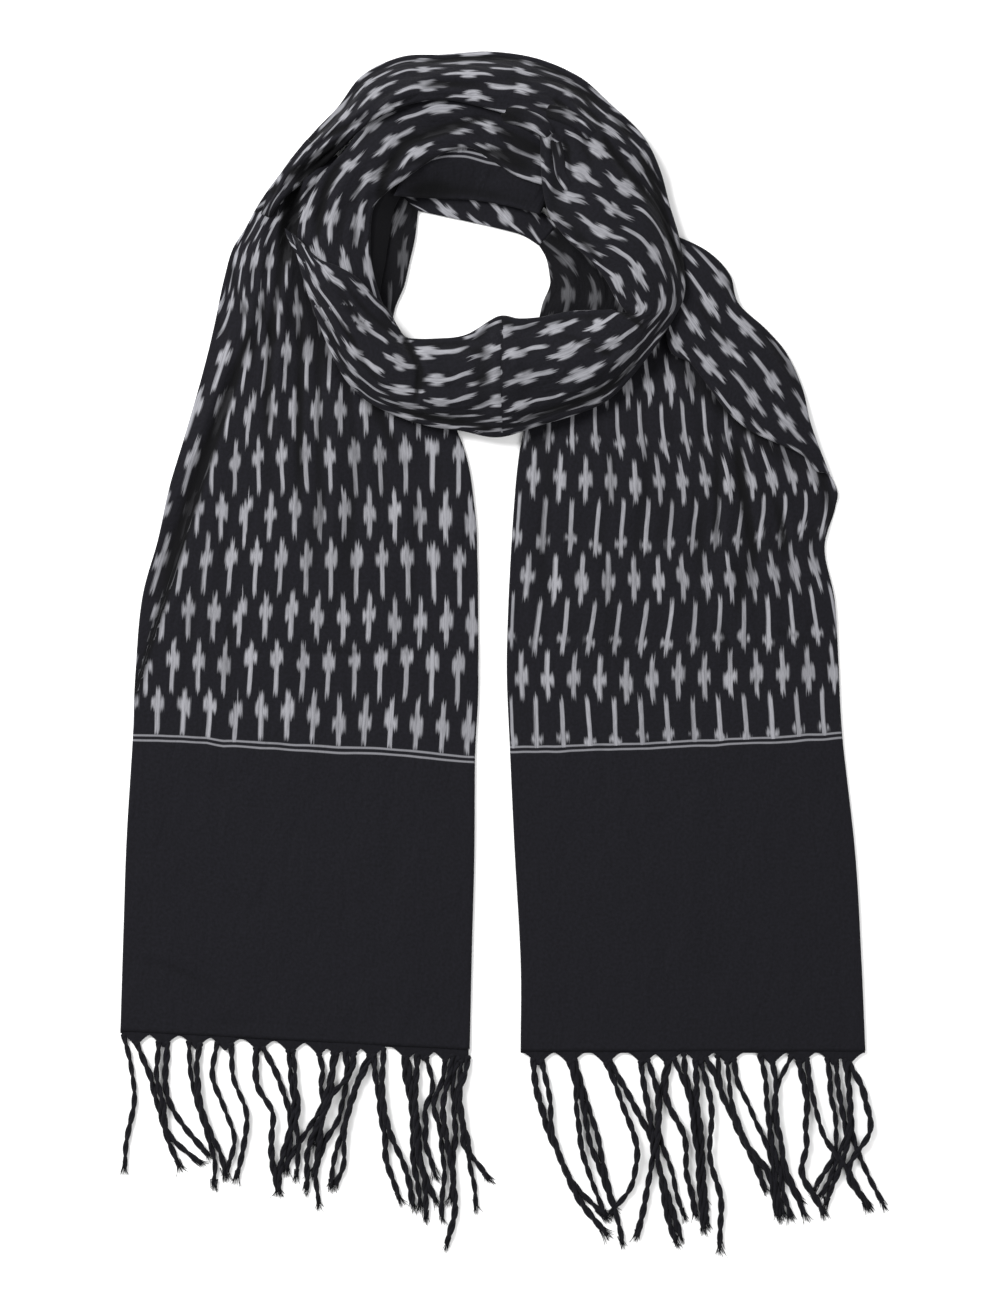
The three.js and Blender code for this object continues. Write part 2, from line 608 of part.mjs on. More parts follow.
layTail('left_tail', leftTail);
layTail('right_tail', rightTail);
layStretch('left_shoulder', leftShoulder, { along: 15, across: 9, runsOnFrom: ['left_tail'] });
layStretch('neck_edge', neckEdge, { along: 12, across: 3 });
layStretch('inner_left', innerLeft, { along: 12, across: 4, runsOnFrom: ['neck_edge'] });
layStretch('inner_right', innerRight, { along: 10, across: 6, runsOnFrom: ['neck_edge'] });
layHidden('hidden_left', hiddenLeft, { along: 8, across: 6 });
layHidden('hidden_top', hiddenTop, { along: 16, across: 8, runsOnFrom: ['hidden_left'] });
layHidden('hidden_right', hiddenRight, { along: 10, across: 6, runsOnFrom: ['hidden_top'] });
layHidden('hidden_front_right', hiddenFront.slice(0, 5), { along: 8, across: 6 });
layHidden('hidden_front_left', hiddenFront.slice(4), {
  along: 10, across: 6, runsOnFrom: ['hidden_front_right'],
});
layStretch('neck_band', neckBand, { along: 10, across: 4 });
layStretch('inner_wrap_left', innerWrap.slice(0, 6), { along: 12, across: 8 });
layStretch('inner_wrap_back', innerWrap.slice(5), { along: 14, across: 8, runsOnFrom: ['inner_wrap_left'] });
layStretch('shoulder_band', shoulderBand, { along: 20, across: 8 });
layStretch('top_wrap', topWrap, { along: 22, across: 7, runsOnFrom: ['left_shoulder'] });
layStretch('right_wrap', rightWrap, { along: 20, across: 10, runsOnFrom: ['top_wrap'] });
layStretch('front_right', frontRight, { along: 14, across: 10, runsOnFrom: ['right_wrap'] });
layStretch('front_left', frontLeft.slice(0, 6), { along: 11, across: 9, runsOnFrom: ['front_right'] });
layStretch('front_corner', frontLeft.slice(5), { along: 11, across: 9, runsOnFrom: ['front_left'] });
layFringe('left_fringe', leftTail[0], leftPoints, leftStrands);
layFringe('right_fringe', rightTail[0], rightPoints, rightStrands);

// The origin is under the middle of the whole scarf, fringes included
const whole = new THREE.Box3().setFromObject(scarf);
const centre = whole.getCenter(new THREE.Vector3());
scarf.position.set(-centre.x, -centre.y, -whole.min.z);

export default scarf;
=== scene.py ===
# A black cotton scarf with a grey thread-dyed pattern, wound once round an open neck and laid flat.
# Lengths in the tables are millimetres, in the frame of the solids; the meshes are in metres.
import math

import bpy
import numpy as np
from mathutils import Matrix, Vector, noise
from mathutils.bvhtree import BVHTree


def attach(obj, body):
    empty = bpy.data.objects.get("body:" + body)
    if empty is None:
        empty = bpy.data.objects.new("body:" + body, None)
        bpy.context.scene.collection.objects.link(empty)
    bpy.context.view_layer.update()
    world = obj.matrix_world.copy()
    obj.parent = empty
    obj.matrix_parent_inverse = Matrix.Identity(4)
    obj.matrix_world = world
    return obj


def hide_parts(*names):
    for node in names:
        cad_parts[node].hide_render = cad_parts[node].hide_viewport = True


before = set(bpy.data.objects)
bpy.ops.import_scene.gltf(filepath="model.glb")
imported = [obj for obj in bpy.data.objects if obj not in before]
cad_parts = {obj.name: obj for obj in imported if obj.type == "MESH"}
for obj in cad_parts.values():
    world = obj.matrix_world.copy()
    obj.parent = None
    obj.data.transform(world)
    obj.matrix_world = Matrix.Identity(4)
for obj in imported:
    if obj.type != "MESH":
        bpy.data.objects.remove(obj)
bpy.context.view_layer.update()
bpy.ops.object.select_all(action="DESELECT")
print("frame loaded:", len(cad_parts), "nodes")

mm = 0.001
tableShift = -1.64  # the tables' X against the solids' X, whose origin is the middle of the box

view = {"height": 3.0, "tall": 0.8476, "x": -0.0020, "y": -0.0010, "sensor": 36.0}
floorLook = {"size": 40.0, "colour": (0.86, 0.86, 0.86, 1.0), "roughness": 0.9}
lamps = {
    "sky": 0.72,
    "key": {"at": (-1.3, 1.2, 1.6), "size": 1.2, "power": 96.0},
    "fill": {"at": (1.4, -0.4, 1.8), "size": 1.6, "power": 22.0},
}


def newObject(name, data, at=(0, 0, 0)):
    obj = bpy.data.objects.new(name, data)
    obj.location = at
    bpy.context.scene.collection.objects.link(obj)
    return obj


def makeCamera():
    data = bpy.data.cameras.new("camera")
    data.sensor_width = view["sensor"]
    data.lens = view["sensor"] * view["height"] / view["tall"]
    bpy.context.scene.camera = newObject("camera", data, (view["x"], view["y"], view["height"]))


def makeLamp(name, at, size, power):
    data = bpy.data.lights.new(name, "AREA")
    data.shape = "DISK"
    data.size = size
    data.energy = power
    lamp = newObject(name, data, at)
    lamp.rotation_euler = (-Vector(at)).to_track_quat("-Z", "Y").to_euler()


def makeStudio():
    world = bpy.data.worlds.new("studio")
    world.use_nodes = True
    world.node_tree.nodes["Background"].inputs["Color"].default_value = (1, 1, 1, 1)
    world.node_tree.nodes["Background"].inputs["Strength"].default_value = lamps["sky"]
    bpy.context.scene.world = world
    bpy.context.scene.view_settings.view_transform = "Standard"
    for name in ("key", "fill"):
        makeLamp(name, **lamps[name])
    bpy.ops.mesh.primitive_plane_add(size=floorLook["size"], location=(0, 0, 0))
    floor = bpy.context.object
    floor.name = "floor"
    paint = bpy.data.materials.new("paleFloor")
    paint.use_nodes = True
    shader = paint.node_tree.nodes["Principled BSDF"]
    shader.inputs["Base Color"].default_value = floorLook["colour"]
    shader.inputs["Roughness"].default_value = floorLook["roughness"]
    floor.data.materials.append(paint)


makeCamera()
makeStudio()
print("camera, lamps and floor made")


# Materials

ikat = {"column": 17.0, "row": 63.4, "thread": 0.5, "bundle": 1.3}
# a mark's place in the repeat, the half length of its stem, and the half widths of its stem and body
crossMark = {
    "name": "Cross", "column": 0.0, "row": 0.0, "seed": 3.5, "half": 14.3, "stem": 1.5, "body": 4.2,
}
pinMark = {
    "name": "Pin", "column": 0.5, "row": 0.48, "seed": 8.5, "half": 16.3, "stem": 1.4, "body": 4.1,
}
# Where the marks start and end along the cloth, and where a body sits on its stem, how that changes in
# 100 mm across and how long it is, all in mm. Then the share of broken pins, and the faulty column.
patternInputs = {
    "Start": -9000.0, "End": 9000.0, "Cross At": 1.0, "Cross Slope": 0.0, "Cross Body": 4.6,
    "Pin At": 6.0, "Pin Slope": 0.0, "Pin Body": 4.6, "Pin Broken": 0.0, "Flaw Column": -900.0,
}
# how unevenly the threads are dyed, in mm to either side, and how soft the edges are
dyeSlips = {
    "mark": 1.3, "bundle": 0.9, "end": 2.2, "edge": 0.3, "body": 1.6, "lobe": 1.9, "lobeEnd": 1.0,
    "bodyEnd": 1.4, "lean": 0.022,
}
dyeFades = {"end": 3.6, "stem": 0.7, "body": 1.1, "lobe": 0.8}
bodyTaper = 0.22
brokenPart = 0.75
strengths = {"least": 0.78, "range": 0.22, "threadLeast": 0.33, "threadRange": 0.34, "streak": 0.8}
flaw = {"from": 0.9, "leftSlip": 5.5, "rightSlip": -2.0}
border = {"overrun": 2.4, "lines": (1.6, 4.9), "half": 0.65, "fade": 0.5}
weaveBump = {"Strength": 0.25, "Distance": 0.0002}
crumpleDepth = 0.005
clothLook = {
    "ground": (0.0036, 0.0035, 0.0052),
    "tonesAndShade": (0.3, 1.9, 0.25),  # of the ground: its darkest and lightest yarn, and the painted shade in a fold
    "mark": (0.205, 0.205, 0.222),
    "line": 0.62,
    # how strongly the painted shade in folds darkens the cloth
    "paintedShade": 0.96,
    "shader": {"Roughness": 0.88, "Specular IOR Level": 0.12, "Sheen Weight": 0.02},
}


def fillInputs(tree, node, inputs):
    # inputs by name or by order, each a value or a socket to link
    for key, value in inputs.items() if isinstance(inputs, dict) else enumerate(inputs):
        if isinstance(value, bpy.types.NodeSocket):
            tree.links.new(value, node.inputs[key])
        else:
            node.inputs[key].default_value = value


def addNode(tree, kind, inputs=(), **settings):
    node = tree.nodes.new("ShaderNode" + kind)
    for name, value in settings.items():
        setattr(node, name, value)
    fillInputs(tree, node, inputs)
    return node


def mathNode(tree, operation, *values, clamp=False):
    return addNode(tree, "Math", values, operation=operation, use_clamp=clamp).outputs[0]


def colourMix(tree, factor, first, second):
    inputs = {"Factor": factor, "A": first, "B": second}
    return addNode(tree, "Mix", inputs, data_type="RGBA").outputs["Result"]


def newGroup(name, inputs, outputs):
    # places on the cloth are a vector, and every other input and output is a number
    tree = bpy.data.node_groups.new(name, "ShaderNodeTree")
    for socketName, value in {"Cloth": None, **inputs}.items():
        kind = "NodeSocketVector" if value is None else "NodeSocketFloat"
        socket = tree.interface.new_socket(socketName, in_out="INPUT", socket_type=kind)
        if value is not None:
            socket.default_value = value
    for socketName in outputs:
        tree.interface.new_socket(socketName, in_out="OUTPUT", socket_type="NodeSocketFloat")
    given = tree.nodes.new("NodeGroupInput").outputs
    result = tree.nodes.new("NodeGroupOutput").inputs
    return tree, given, result


def stretchedNoise(tree, place, stretch, scale, detail, distortion=0.0):
    place = addNode(tree, "VectorMath", [place, stretch], operation="MULTIPLY").outputs[0]
    inputs = {"Vector": place, "Scale": scale, "Detail": detail, "Distortion": distortion}
    return addNode(tree, "TexNoise", inputs).outputs[0]


def whiteNoise(tree, *place):
    place = addNode(tree, "CombineXYZ", place).outputs[0]
    return addNode(tree, "TexWhiteNoise", {"Vector": place}, noise_dimensions="3D")


def chance(tree, *place):
    return whiteNoise(tree, *place).outputs["Value"]


def threeChances(tree, *place):
    return addNode(tree, "SeparateColor", [whiteNoise(tree, *place).outputs["Color"]]).outputs[:3]


def softInside(tree, half, away, fade):
    # 1 where away is less than half, fading over a short way
    scaled = mathNode(tree, "DIVIDE", mathNode(tree, "SUBTRACT", half, away), fade)
    return mathNode(tree, "ADD", scaled, 0.5, clamp=True)


def centred(tree, value, reach):
    # a chance from 0 to 1, as a slip of up to the reach to either side
    return mathNode(tree, "MULTIPLY", mathNode(tree, "SUBTRACT", value, 0.5), 2 * reach)


def markMask(tree, given, across, along, streak, mark):
    # one kind of mark: a thin stem along the warp with a wider body across it, dyed thread by thread
    def step(operation):
        return lambda *values: mathNode(tree, operation, *values)

    plus, minus, times, over = step("ADD"), step("SUBTRACT"), step("MULTIPLY"), step("DIVIDE")
    size, whole, more = step("ABSOLUTE"), step("ROUND"), step("GREATER_THAN")

    def slip(value, name):
        return centred(tree, value, dyeSlips[name])

    thread = mathNode(tree, "FLOOR", over(across, ikat["thread"]))
    bundle = mathNode(tree, "FLOOR", over(across, ikat["bundle"]))
    columnPlace = minus(over(across, ikat["column"]), mark["column"])
    rowPlace = minus(over(along, ikat["row"]), mark["row"])
    column, row = whole(columnPlace), whole(rowPlace)
    threadChance = chance(tree, thread, 0.5, 1.5)
    slipChance, leanChance, strengthChance = threeChances(tree, column, row, mark["seed"])
    bundleChance = chance(tree, bundle, row, mark["seed"] + 4)
    endChance = chance(tree, thread, row, mark["seed"] + 9)

    down = times(minus(rowPlace, row), ikat["row"])
    down = plus(plus(down, slip(slipChance, "mark")), slip(bundleChance, "bundle"))
    side = times(minus(columnPlace, column), ikat["column"])
    side = minus(side, times(down, slip(leanChance, "lean")))
    if mark is crossMark:
        # one bundle slipped in the dyeing, so its marks are parted all along the cloth
        flawed = mathNode(tree, "COMPARE", column, given["Flaw Column"], 0.5)
        rightPart = times(more(side, flaw["from"]), flaw["rightSlip"] - flaw["leftSlip"])
        down = plus(down, times(flawed, plus(rightPart, flaw["leftSlip"])))
    away = plus(size(side), slip(threadChance, "edge"))
    half = plus(slip(endChance, "end"), mark["half"])
    stem = softInside(tree, half, size(down), dyeFades["end"])
    stem = times(stem, softInside(tree, mark["stem"], away, dyeFades["stem"]))

    at = times(given[mark["name"] + " Slope"], times(across, 0.01))
    at = plus(plus(at, given[mark["name"] + " At"]), slip(strengthChance, "body"))
    # each half of the body was bound by itself, so it sits a little higher or lower
    lobe = plus(column, times(mathNode(tree, "SIGN", side), 0.25))
    lobeChance, lobeEndChance, _ = threeChances(tree, lobe, row, mark["seed"] + 13)
    offStem = softInside(tree, away, mark["stem"], dyeFades["lobe"])
    at = plus(at, times(slip(lobeChance, "lobe"), offStem))
    bodyHalf = plus(given[mark["name"] + " Body"], slip(lobeEndChance, "lobeEnd"))
    bodyHalf = minus(plus(bodyHalf, slip(endChance, "bodyEnd")), times(away, bodyTaper))
    body = softInside(tree, bodyHalf, size(minus(down, at)), dyeFades["end"])
    body = times(body, softInside(tree, mark["body"], away, dyeFades["body"]))
    if mark is pinMark:
        gone = more(given["Pin Broken"], bundleChance)
        body = times(body, minus(1.0, times(gone, brokenPart)))

    centre = times(plus(row, mark["row"]), ikat["row"])
    shape = times(mathNode(tree, "MAXIMUM", stem, body), more(centre, given["Start"]))
    shape = times(shape, mathNode(tree, "LESS_THAN", centre, given["End"]))
    strength = plus(times(strengthChance, strengths["range"]), strengths["least"])
    fine = plus(times(threadChance, strengths["threadRange"]), strengths["threadLeast"])
    fine = plus(fine, times(streak, strengths["streak"]))
    return times(shape, times(strength, fine))


def makeIkatGroup():
    # the two marks, and the double line of the border at each end of the pattern
    tree, given, result = newGroup("ikatMarks", patternInputs, ["Mark", "Lines"])
    across, along = addNode(tree, "SeparateXYZ", [given["Cloth"]]).outputs[:2]
    # streaks along the warp where the dye took unevenly
    streak = stretchedNoise(tree, given["Cloth"], (0.9, 0.13, 1), 1.0, 2.0)
    marks = [markMask(tree, given, across, along, streak, mark) for mark in (crossMark, pinMark)]
    mark, lines = mathNode(tree, "MAXIMUM", *marks), 0.0
    for edge, side in (("Start", -1), ("End", 1)):
        beyond = mathNode(tree, "MULTIPLY", mathNode(tree, "SUBTRACT", along, given[edge]), side)
        # a stem may run just over the first line of the border
        inside = mathNode(tree, "LESS_THAN", beyond, border["overrun"])
        mark = mathNode(tree, "MULTIPLY", mark, inside)
        for centre in border["lines"]:
            away = mathNode(tree, "ABSOLUTE", mathNode(tree, "SUBTRACT", beyond, centre))
            line = softInside(tree, border["half"], away, border["fade"])
            lines = mathNode(tree, "MAXIMUM", lines, line)
    tree.links.new(mathNode(tree, "MINIMUM", mark, 1.0), result["Mark"])
    tree.links.new(lines, result["Lines"])
    return tree


def makeWeaveGroup():
    # plain weave: warp and weft threads that pass over and under, with uneven yarn
    tree, given, result = newGroup("plainWeave", {"Thread": ikat["thread"]}, ["Height", "Slub"])
    waves = []
    for place in addNode(tree, "SeparateXYZ", [given["Cloth"]]).outputs[:2]:
        turns = mathNode(tree, "MULTIPLY", mathNode(tree, "DIVIDE", place, given["Thread"]), math.pi)
        waves.append(mathNode(tree, "SINE", turns))
    height = mathNode(tree, "MULTIPLY", mathNode(tree, "MULTIPLY", *waves), 0.5)
    tree.links.new(height, result["Height"])
    tree.links.new(stretchedNoise(tree, given["Cloth"], (1, 1, 1), 0.5, 6.0), result["Slub"])
    return tree


def makeCrumpleGroup():
    # soft crumples of worn cotton, longer along the warp than across it
    tree, given, result = newGroup("softCrumples", {"Size": 0.05}, ["Height"])
    lumps = stretchedNoise(tree, given["Cloth"], (1.6, 0.7, 1), given["Size"], 4.0, 0.7)
    tree.links.new(lumps, result["Height"])
    return tree


ikatGroup = makeIkatGroup()
crumpleGroup = makeCrumpleGroup()
weaveGroup = makeWeaveGroup()


def tinted(colour, amount):
    return [channel * amount for channel in colour] + [1]


# the first number darkens the whole cloth and the second its marks: painted shade for the inside of the
# neck and the hidden layers, a darker tone for the fringe yarn
def makeCloth(name, pattern=None, toneAndPaintedShade=1.0, paintedMarkShade=1.0, crumple=0.35):
    material = bpy.data.materials.new(name)
    material.use_nodes = True
    tree = material.node_tree
    place = addNode(tree, "UVMap", uv_map="clothMap").outputs[0]
    weave = addNode(tree, "Group", {"Cloth": place}, node_tree=weaveGroup)
    dark, light, paintedShadeColour = (tinted(clothLook["ground"], toneAndPaintedShade * tone) for tone in clothLook["tonesAndShade"])
    colour = colourMix(tree, weave.outputs["Slub"], dark, light)
    if pattern is not None:
        marks = addNode(tree, "Group", {"Cloth": place, **pattern}, node_tree=ikatGroup)
        lines = mathNode(tree, "MULTIPLY", marks.outputs["Lines"], clothLook["line"])
        dyed = mathNode(tree, "MAXIMUM", marks.outputs["Mark"], lines)
        colour = colourMix(tree, dyed, colour, tinted(clothLook["mark"], paintedMarkShade))
    # painted shade: the colour is mixed towards a darker ground by the shade painted on each vertex of a
    # sheet, in its folds, troughs and tucked ends
    paintedShade = addNode(tree, "Attribute", attribute_name="paintedShade").outputs["Fac"]
    paintedShadeAmount = mathNode(tree, "MULTIPLY", paintedShade, clothLook["paintedShade"])
    colour = colourMix(tree, paintedShadeAmount, colour, paintedShadeColour)
    lumps = addNode(tree, "Group", {"Cloth": place}, node_tree=crumpleGroup)
    threads = addNode(tree, "Bump", {**weaveBump, "Height": weave.outputs["Height"]})
    soft = addNode(tree, "Bump", {
        "Strength": crumple, "Distance": crumpleDepth,
        "Height": lumps.outputs["Height"], "Normal": threads.outputs[0],
    })
    shader = tree.nodes["Principled BSDF"]
    fillInputs(tree, shader, {"Base Color": colour, "Normal": soft.outputs[0], **clothLook["shader"]})
    return material


# Cloth sheets

# A row of a sheet's table has its ends at edges a and b. It may give the pattern's place there and in the
# middle, in columns and rows of marks, and how wide the turned parts are. Or it gives how many degrees the
# warp turns from the run of the sheet, and how far it leads. A row that stops early has zeros for the rest.
tailColumns = "ax ay bx by ua um ub va vm vb tuckA tuckB"
turnedColumns = "ax ay bx by turn lead"
sheetWall = 0.6
clearance = 0.9  # from the top of one sheet to the top of the sheet that lies on it
lowestFace, lowestFold = 1.0, 0.35
underSlope = 0.25  # how far the part that is turned under sinks
rollRoom, smallestRoll = 0.25, 0.5
rollTurns = np.radians((25, 55, 85, 115, 145, 175))
creaseEnd, creaseFade = 0.04, 0.6
rippleFine = {"high": 0.5, "often": 2.3}
gatherLong = 7  # the length of a pleat against its width
tuckLean = 34  # how far under its top a tuck starts to lean
pressRise = 0.3  # share of the sheet over which a press sets in
clothSlide = {"acrossWide": 21, "alongWide": 26, "alongMore": 1.8}
# how the painted shade is found: from hollows, from pressed troughs and at tucked starts, and in a band
# beside each pleat
paintedFoldShade = {"passes": 60, "spare": 0.1, "pressedFrom": 0.5, "pressedDeep": 1.9, "dropRuns": 2.1}
paintedPleatShade = {"most": 1.4, "at": 1.0, "half": 2.6, "before": -0.05}
# how a sheet is laid where its own dictionary says nothing else
usual = {
    "columns": "ax ay bx by",
    "slot": "cloth",
    "grain": 2.6,  # side of a mesh cell
    "smooth": 14,
    "rippleWide": 38,
    "rippleHigh": 0.7,
    "gather": (0.7, 0.7, 8.0),  # heights at the two ends, and the width of a pleat
    "startDrop": 0,
    "endDrop": 0,
    "dropRun": 16,
    # painted shade at the start of a sheet whose end goes in under another
    "startDark": 1.2,
    "turned": False,
    "pressA": (7.0, 3.0),  # how far in from the edge, and by how much the cloth slides to it
    "pressB": (7.0, 3.0),
    "pressFrom": -1.0,
    "warp": 0.7,
    "pleats": [],
    "kinks": [],
    "tucks": [],
    # the depth of a hollow, in mm, over which the painted shade grows to full
    "foldDeep": 1.0,
    "tuckA": 9.0,  # how wide the part is that lies turned under edge a
    "tuckB": 9.0,
    "underCount": 4,
    "creases": [],
}


def table(columns, rows):
    full = [row + [0] * (len(columns.split()) - len(row)) for row in rows]
    return {name: np.array(column, float) for name, column in zip(columns.split(), zip(*full))}


def throughPoints(values, places):
    # Catmull-Rom through the table's values at places 0, 1, 2 ...
    last = len(values) - 1
    index = np.clip(np.floor(places).astype(int), 0, last - 1)
    share = places - index
    before = np.where(index > 0, values[np.maximum(index - 1, 0)], 2 * values[0] - values[1])
    beyond = 2 * values[last] - values[last - 1]
    after = np.where(index < last - 1, values[np.minimum(index + 2, last)], beyond)
    p1, p2 = values[index], values[index + 1]
    return 0.5 * (
        2 * p1
        + (p2 - before) * share
        + (2 * before - 5 * p1 + 4 * p2 - after) * share**2
        + (3 * p1 - before - 3 * p2 + after) * share**3
    )


def lengthsAlong(points):
    # the way from the first point to each point
    return np.concatenate([[0], np.cumsum(np.linalg.norm(np.diff(points, axis=0), axis=1))])


def evenPlaces(rows, step):
    # places along the table at even distances of the wider edge
    dense = np.linspace(0, len(rows["ax"]) - 1, 2000)
    lengths = []
    for side in ("a", "b"):
        edge = np.stack([throughPoints(rows[side + axis], dense) for axis in "xy"], 1)
        lengths.append(lengthsAlong(edge))
    run = (lengths[0] + lengths[1]) / 2
    longest = max(lengths[0][-1], lengths[1][-1])
    count = max(8, int(round(longest / step)))
    return np.interp(np.linspace(0, run[-1], count + 1), run, dense), run[-1]


def joined(parts):
    # one list of vertices and one of faces from several pairs of them
    vertices, faces = [], []
    for newVertices, newFaces in parts:
        first = len(vertices)
        vertices.extend(np.asarray(newVertices).tolist())
        faces.extend([tuple(first + i for i in face) for face in newFaces])
    return vertices, faces


def solidTree(*names):
    meshes = [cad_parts[name].data for name in names]
    parts = [([vertex.co for vertex in mesh.vertices], [face.vertices for face in mesh.polygons])
             for mesh in meshes]
    return BVHTree.FromPolygons(*joined(parts))


def heightOn(tree, x, y, missing=None):
    # the highest point of the tree under or over (x, y), in mm
    hit, _, _, _ = tree.ray_cast(Vector((x * mm, y * mm, 0.2)), Vector((0, 0, -1)))
    if hit is not None:
        return hit.z / mm
    if missing is not None:
        return missing
    hit, _, _, _ = tree.find_nearest(Vector((x * mm, y * mm, 0.01)))
    return hit.z / mm


lyingTrees = []  # what lies on the floor so far


def pileHeight(x, y):
    return max([0.0] + [heightOn(tree, x, y, missing=0.0) for tree in lyingTrees])


def overGrid(work, x, y):
    # what the work gives for each point of a grid
    return np.array([work(*point) for point in zip(x.ravel(), y.ravel())]).reshape(x.shape)


def smoothed(values, passes, **padding):
    for _ in range(passes):
        padded = np.pad(values, 1, **(padding or {"mode": "edge"}))
        sides = padded[:-2, 1:-1] + padded[2:, 1:-1] + padded[1:-1, :-2] + padded[1:-1, 2:]
        values = (sides + 4 * values) / 8
    return values


def fromLine(x, y, x1, y1, x2, y2):
    # how far along a line each point lies, as a share of it, and how far beside it, in mm
    runX, runY = x2 - x1, y2 - y1
    length = math.hypot(runX, runY)
    along = ((x - x1) * runX + (y - y1) * runY) / length**2
    return along, ((x - x1) * runY - (y - y1) * runX) / length


def creaseHeight(x, y, creases):
    # soft ridges and troughs between two points, each with its own bow to one side
    total = np.zeros_like(x)
    for x1, y1, x2, y2, half, high, bow in creases:
        runX, runY = x2 - x1, y2 - y1
        length = math.hypot(runX, runY)
        along = np.clip(fromLine(x, y, x1, y1, x2, y2)[0], 0, 1)
        bend = bow * 4 * along * (1 - along)
        awayX = x - x1 - along * runX + bend * runY / length
        awayY = y - y1 - along * runY - bend * runX / length
        away = np.minimum(np.hypot(awayX, awayY) / half, 1)
        fade = np.sin(math.pi * np.clip(along, creaseEnd, 1 - creaseEnd)) ** creaseFade
        total += high * fade * (1 - away**2) ** 2
    return total


def ripple(x, y, wide, high, seed):
    # slight unevenness of soft cloth that has been pressed and laid by hand
    def height(across, along):
        place = Vector((across, along, seed))
        fine = rippleFine["high"] * noise.noise(place * rippleFine["often"])
        return high * (noise.noise(place) + fine)

    return overGrid(height, x / wide, y / wide)


def gathers(face, sheet):
    # long soft pleats that run with the cloth and come and go
    low, high, wide = sheet["gather"]

    def pleat(along, across):
        return noise.noise(Vector((along, across, sheet["seed"] + 3)))

    pleats = overGrid(pleat, face["run"] / (wide * gatherLong), face["side"] / wide)
    return pleats * (low + (high - low) * (face["run"] / face["length"]) ** 2)


def sheetFace(sheet):
    # the open face between the table's two edges, which stops a roll's radius short of them
    rows = table(sheet["columns"], sheet["rows"])
    places, runLength = evenPlaces(rows, sheet["grain"])
    at = {key: throughPoints(values, places)[:, None] for key, values in rows.items()}
    ax, ay, bx, by = at["ax"] + tableShift, at["ay"], at["bx"] + tableShift, at["by"]
    wide = np.hypot(bx - ax, by - ay)
    inset = sheet["roll"] / wide
    columnCount = max(8, int(round(wide.max() / sheet["grain"])))
    across = inset + (1 - 2 * inset) * np.linspace(0, 1, columnCount + 1)
    return {
        "at": at,
        "wide": wide,
        "across": across,
        "length": runLength,
        "run": np.linspace(0, runLength, len(places))[:, None] + 0 * across,
        "side": (across - 0.5) * wide,
        "x": ax + (bx - ax) * across,
        "y": ay + (by - ay) * across,
        "unitX": (bx - ax) / wide,
        "unitY": (by - ay) / wide,
    }


def faceHeight(face, sheet):
    # over its solids, pressed and rippled, and clear of all that lies under it
    x, y = face["x"], face["y"]
    solid = solidTree(*sheet["nodes"])
    z = smoothed(overGrid(lambda px, py: heightOn(solid, px, py), x, y), sheet["smooth"])
    z += face["pressed"]
    z += ripple(x, y, sheet["rippleWide"], sheet["rippleHigh"], sheet["seed"])
    z += gathers(face, sheet)
    least = overGrid(pileHeight, x, y) + clearance
    for _ in range(3):
        z = smoothed(np.maximum(z, least), 1)
    z = np.maximum(z, least)
    if sheet["startDrop"]:
        # the ends go in under the sheet that they run on from
        start = np.clip(face["run"] / sheet["dropRun"], 0, 1)
        end = np.clip(1 - (face["length"] - face["run"]) / sheet["dropRun"], 0, 1)
        z -= sheet["startDrop"] * (1 - start) ** 2 + sheet["endDrop"] * end**2
        z = np.maximum(z, lowestFace)
    return z


def bowed(at, axis, across):
    # from edge a to edge b, through the value that the table gives for the middle
    first, middle, last = at[axis + "a"], at[axis + "m"], at[axis + "b"]
    bend = middle - (first + last) / 2
    return first + (last - first) * across + bend * 4 * across * (1 - across)


def clothPlaces(face, sheet):
    # cloth coordinates in mm: u from thread to thread of the warp, and v along the threads
    at, across, side = face["at"], face["across"], face["side"]
    if "ua" in at:
        return bowed(at, "u", across) * ikat["column"], bowed(at, "v", across) * ikat["row"]
    # the warp turns from the run of the sheet by an angle, towards edge b
    turn = np.radians(at.get("turn", 0 * at["ax"]))
    halfway = (turn[1:] + turn[:-1]) / 2
    steps = np.hypot(np.diff(at["ax"] + at["bx"], axis=0), np.diff(at["ay"] + at["by"], axis=0)) / 2
    drift, run = (
        np.concatenate([[[0]], np.cumsum(steps * part, axis=0)])
        for part in (-np.sin(halfway), np.cos(halfway))
    )
    u = drift + side * np.cos(turn) + sheet["u"]
    v = run + at.get("lead", 0) + side * np.sin(turn) + sheet["v"]
    if sheet["turned"]:
        # the warp lies across the sheet, from edge a to edge b
        return v, -across * face["wide"]
    return u, v


def wayAcross(u):
    return np.sign(u[:, [-1]] - u[:, [0]])


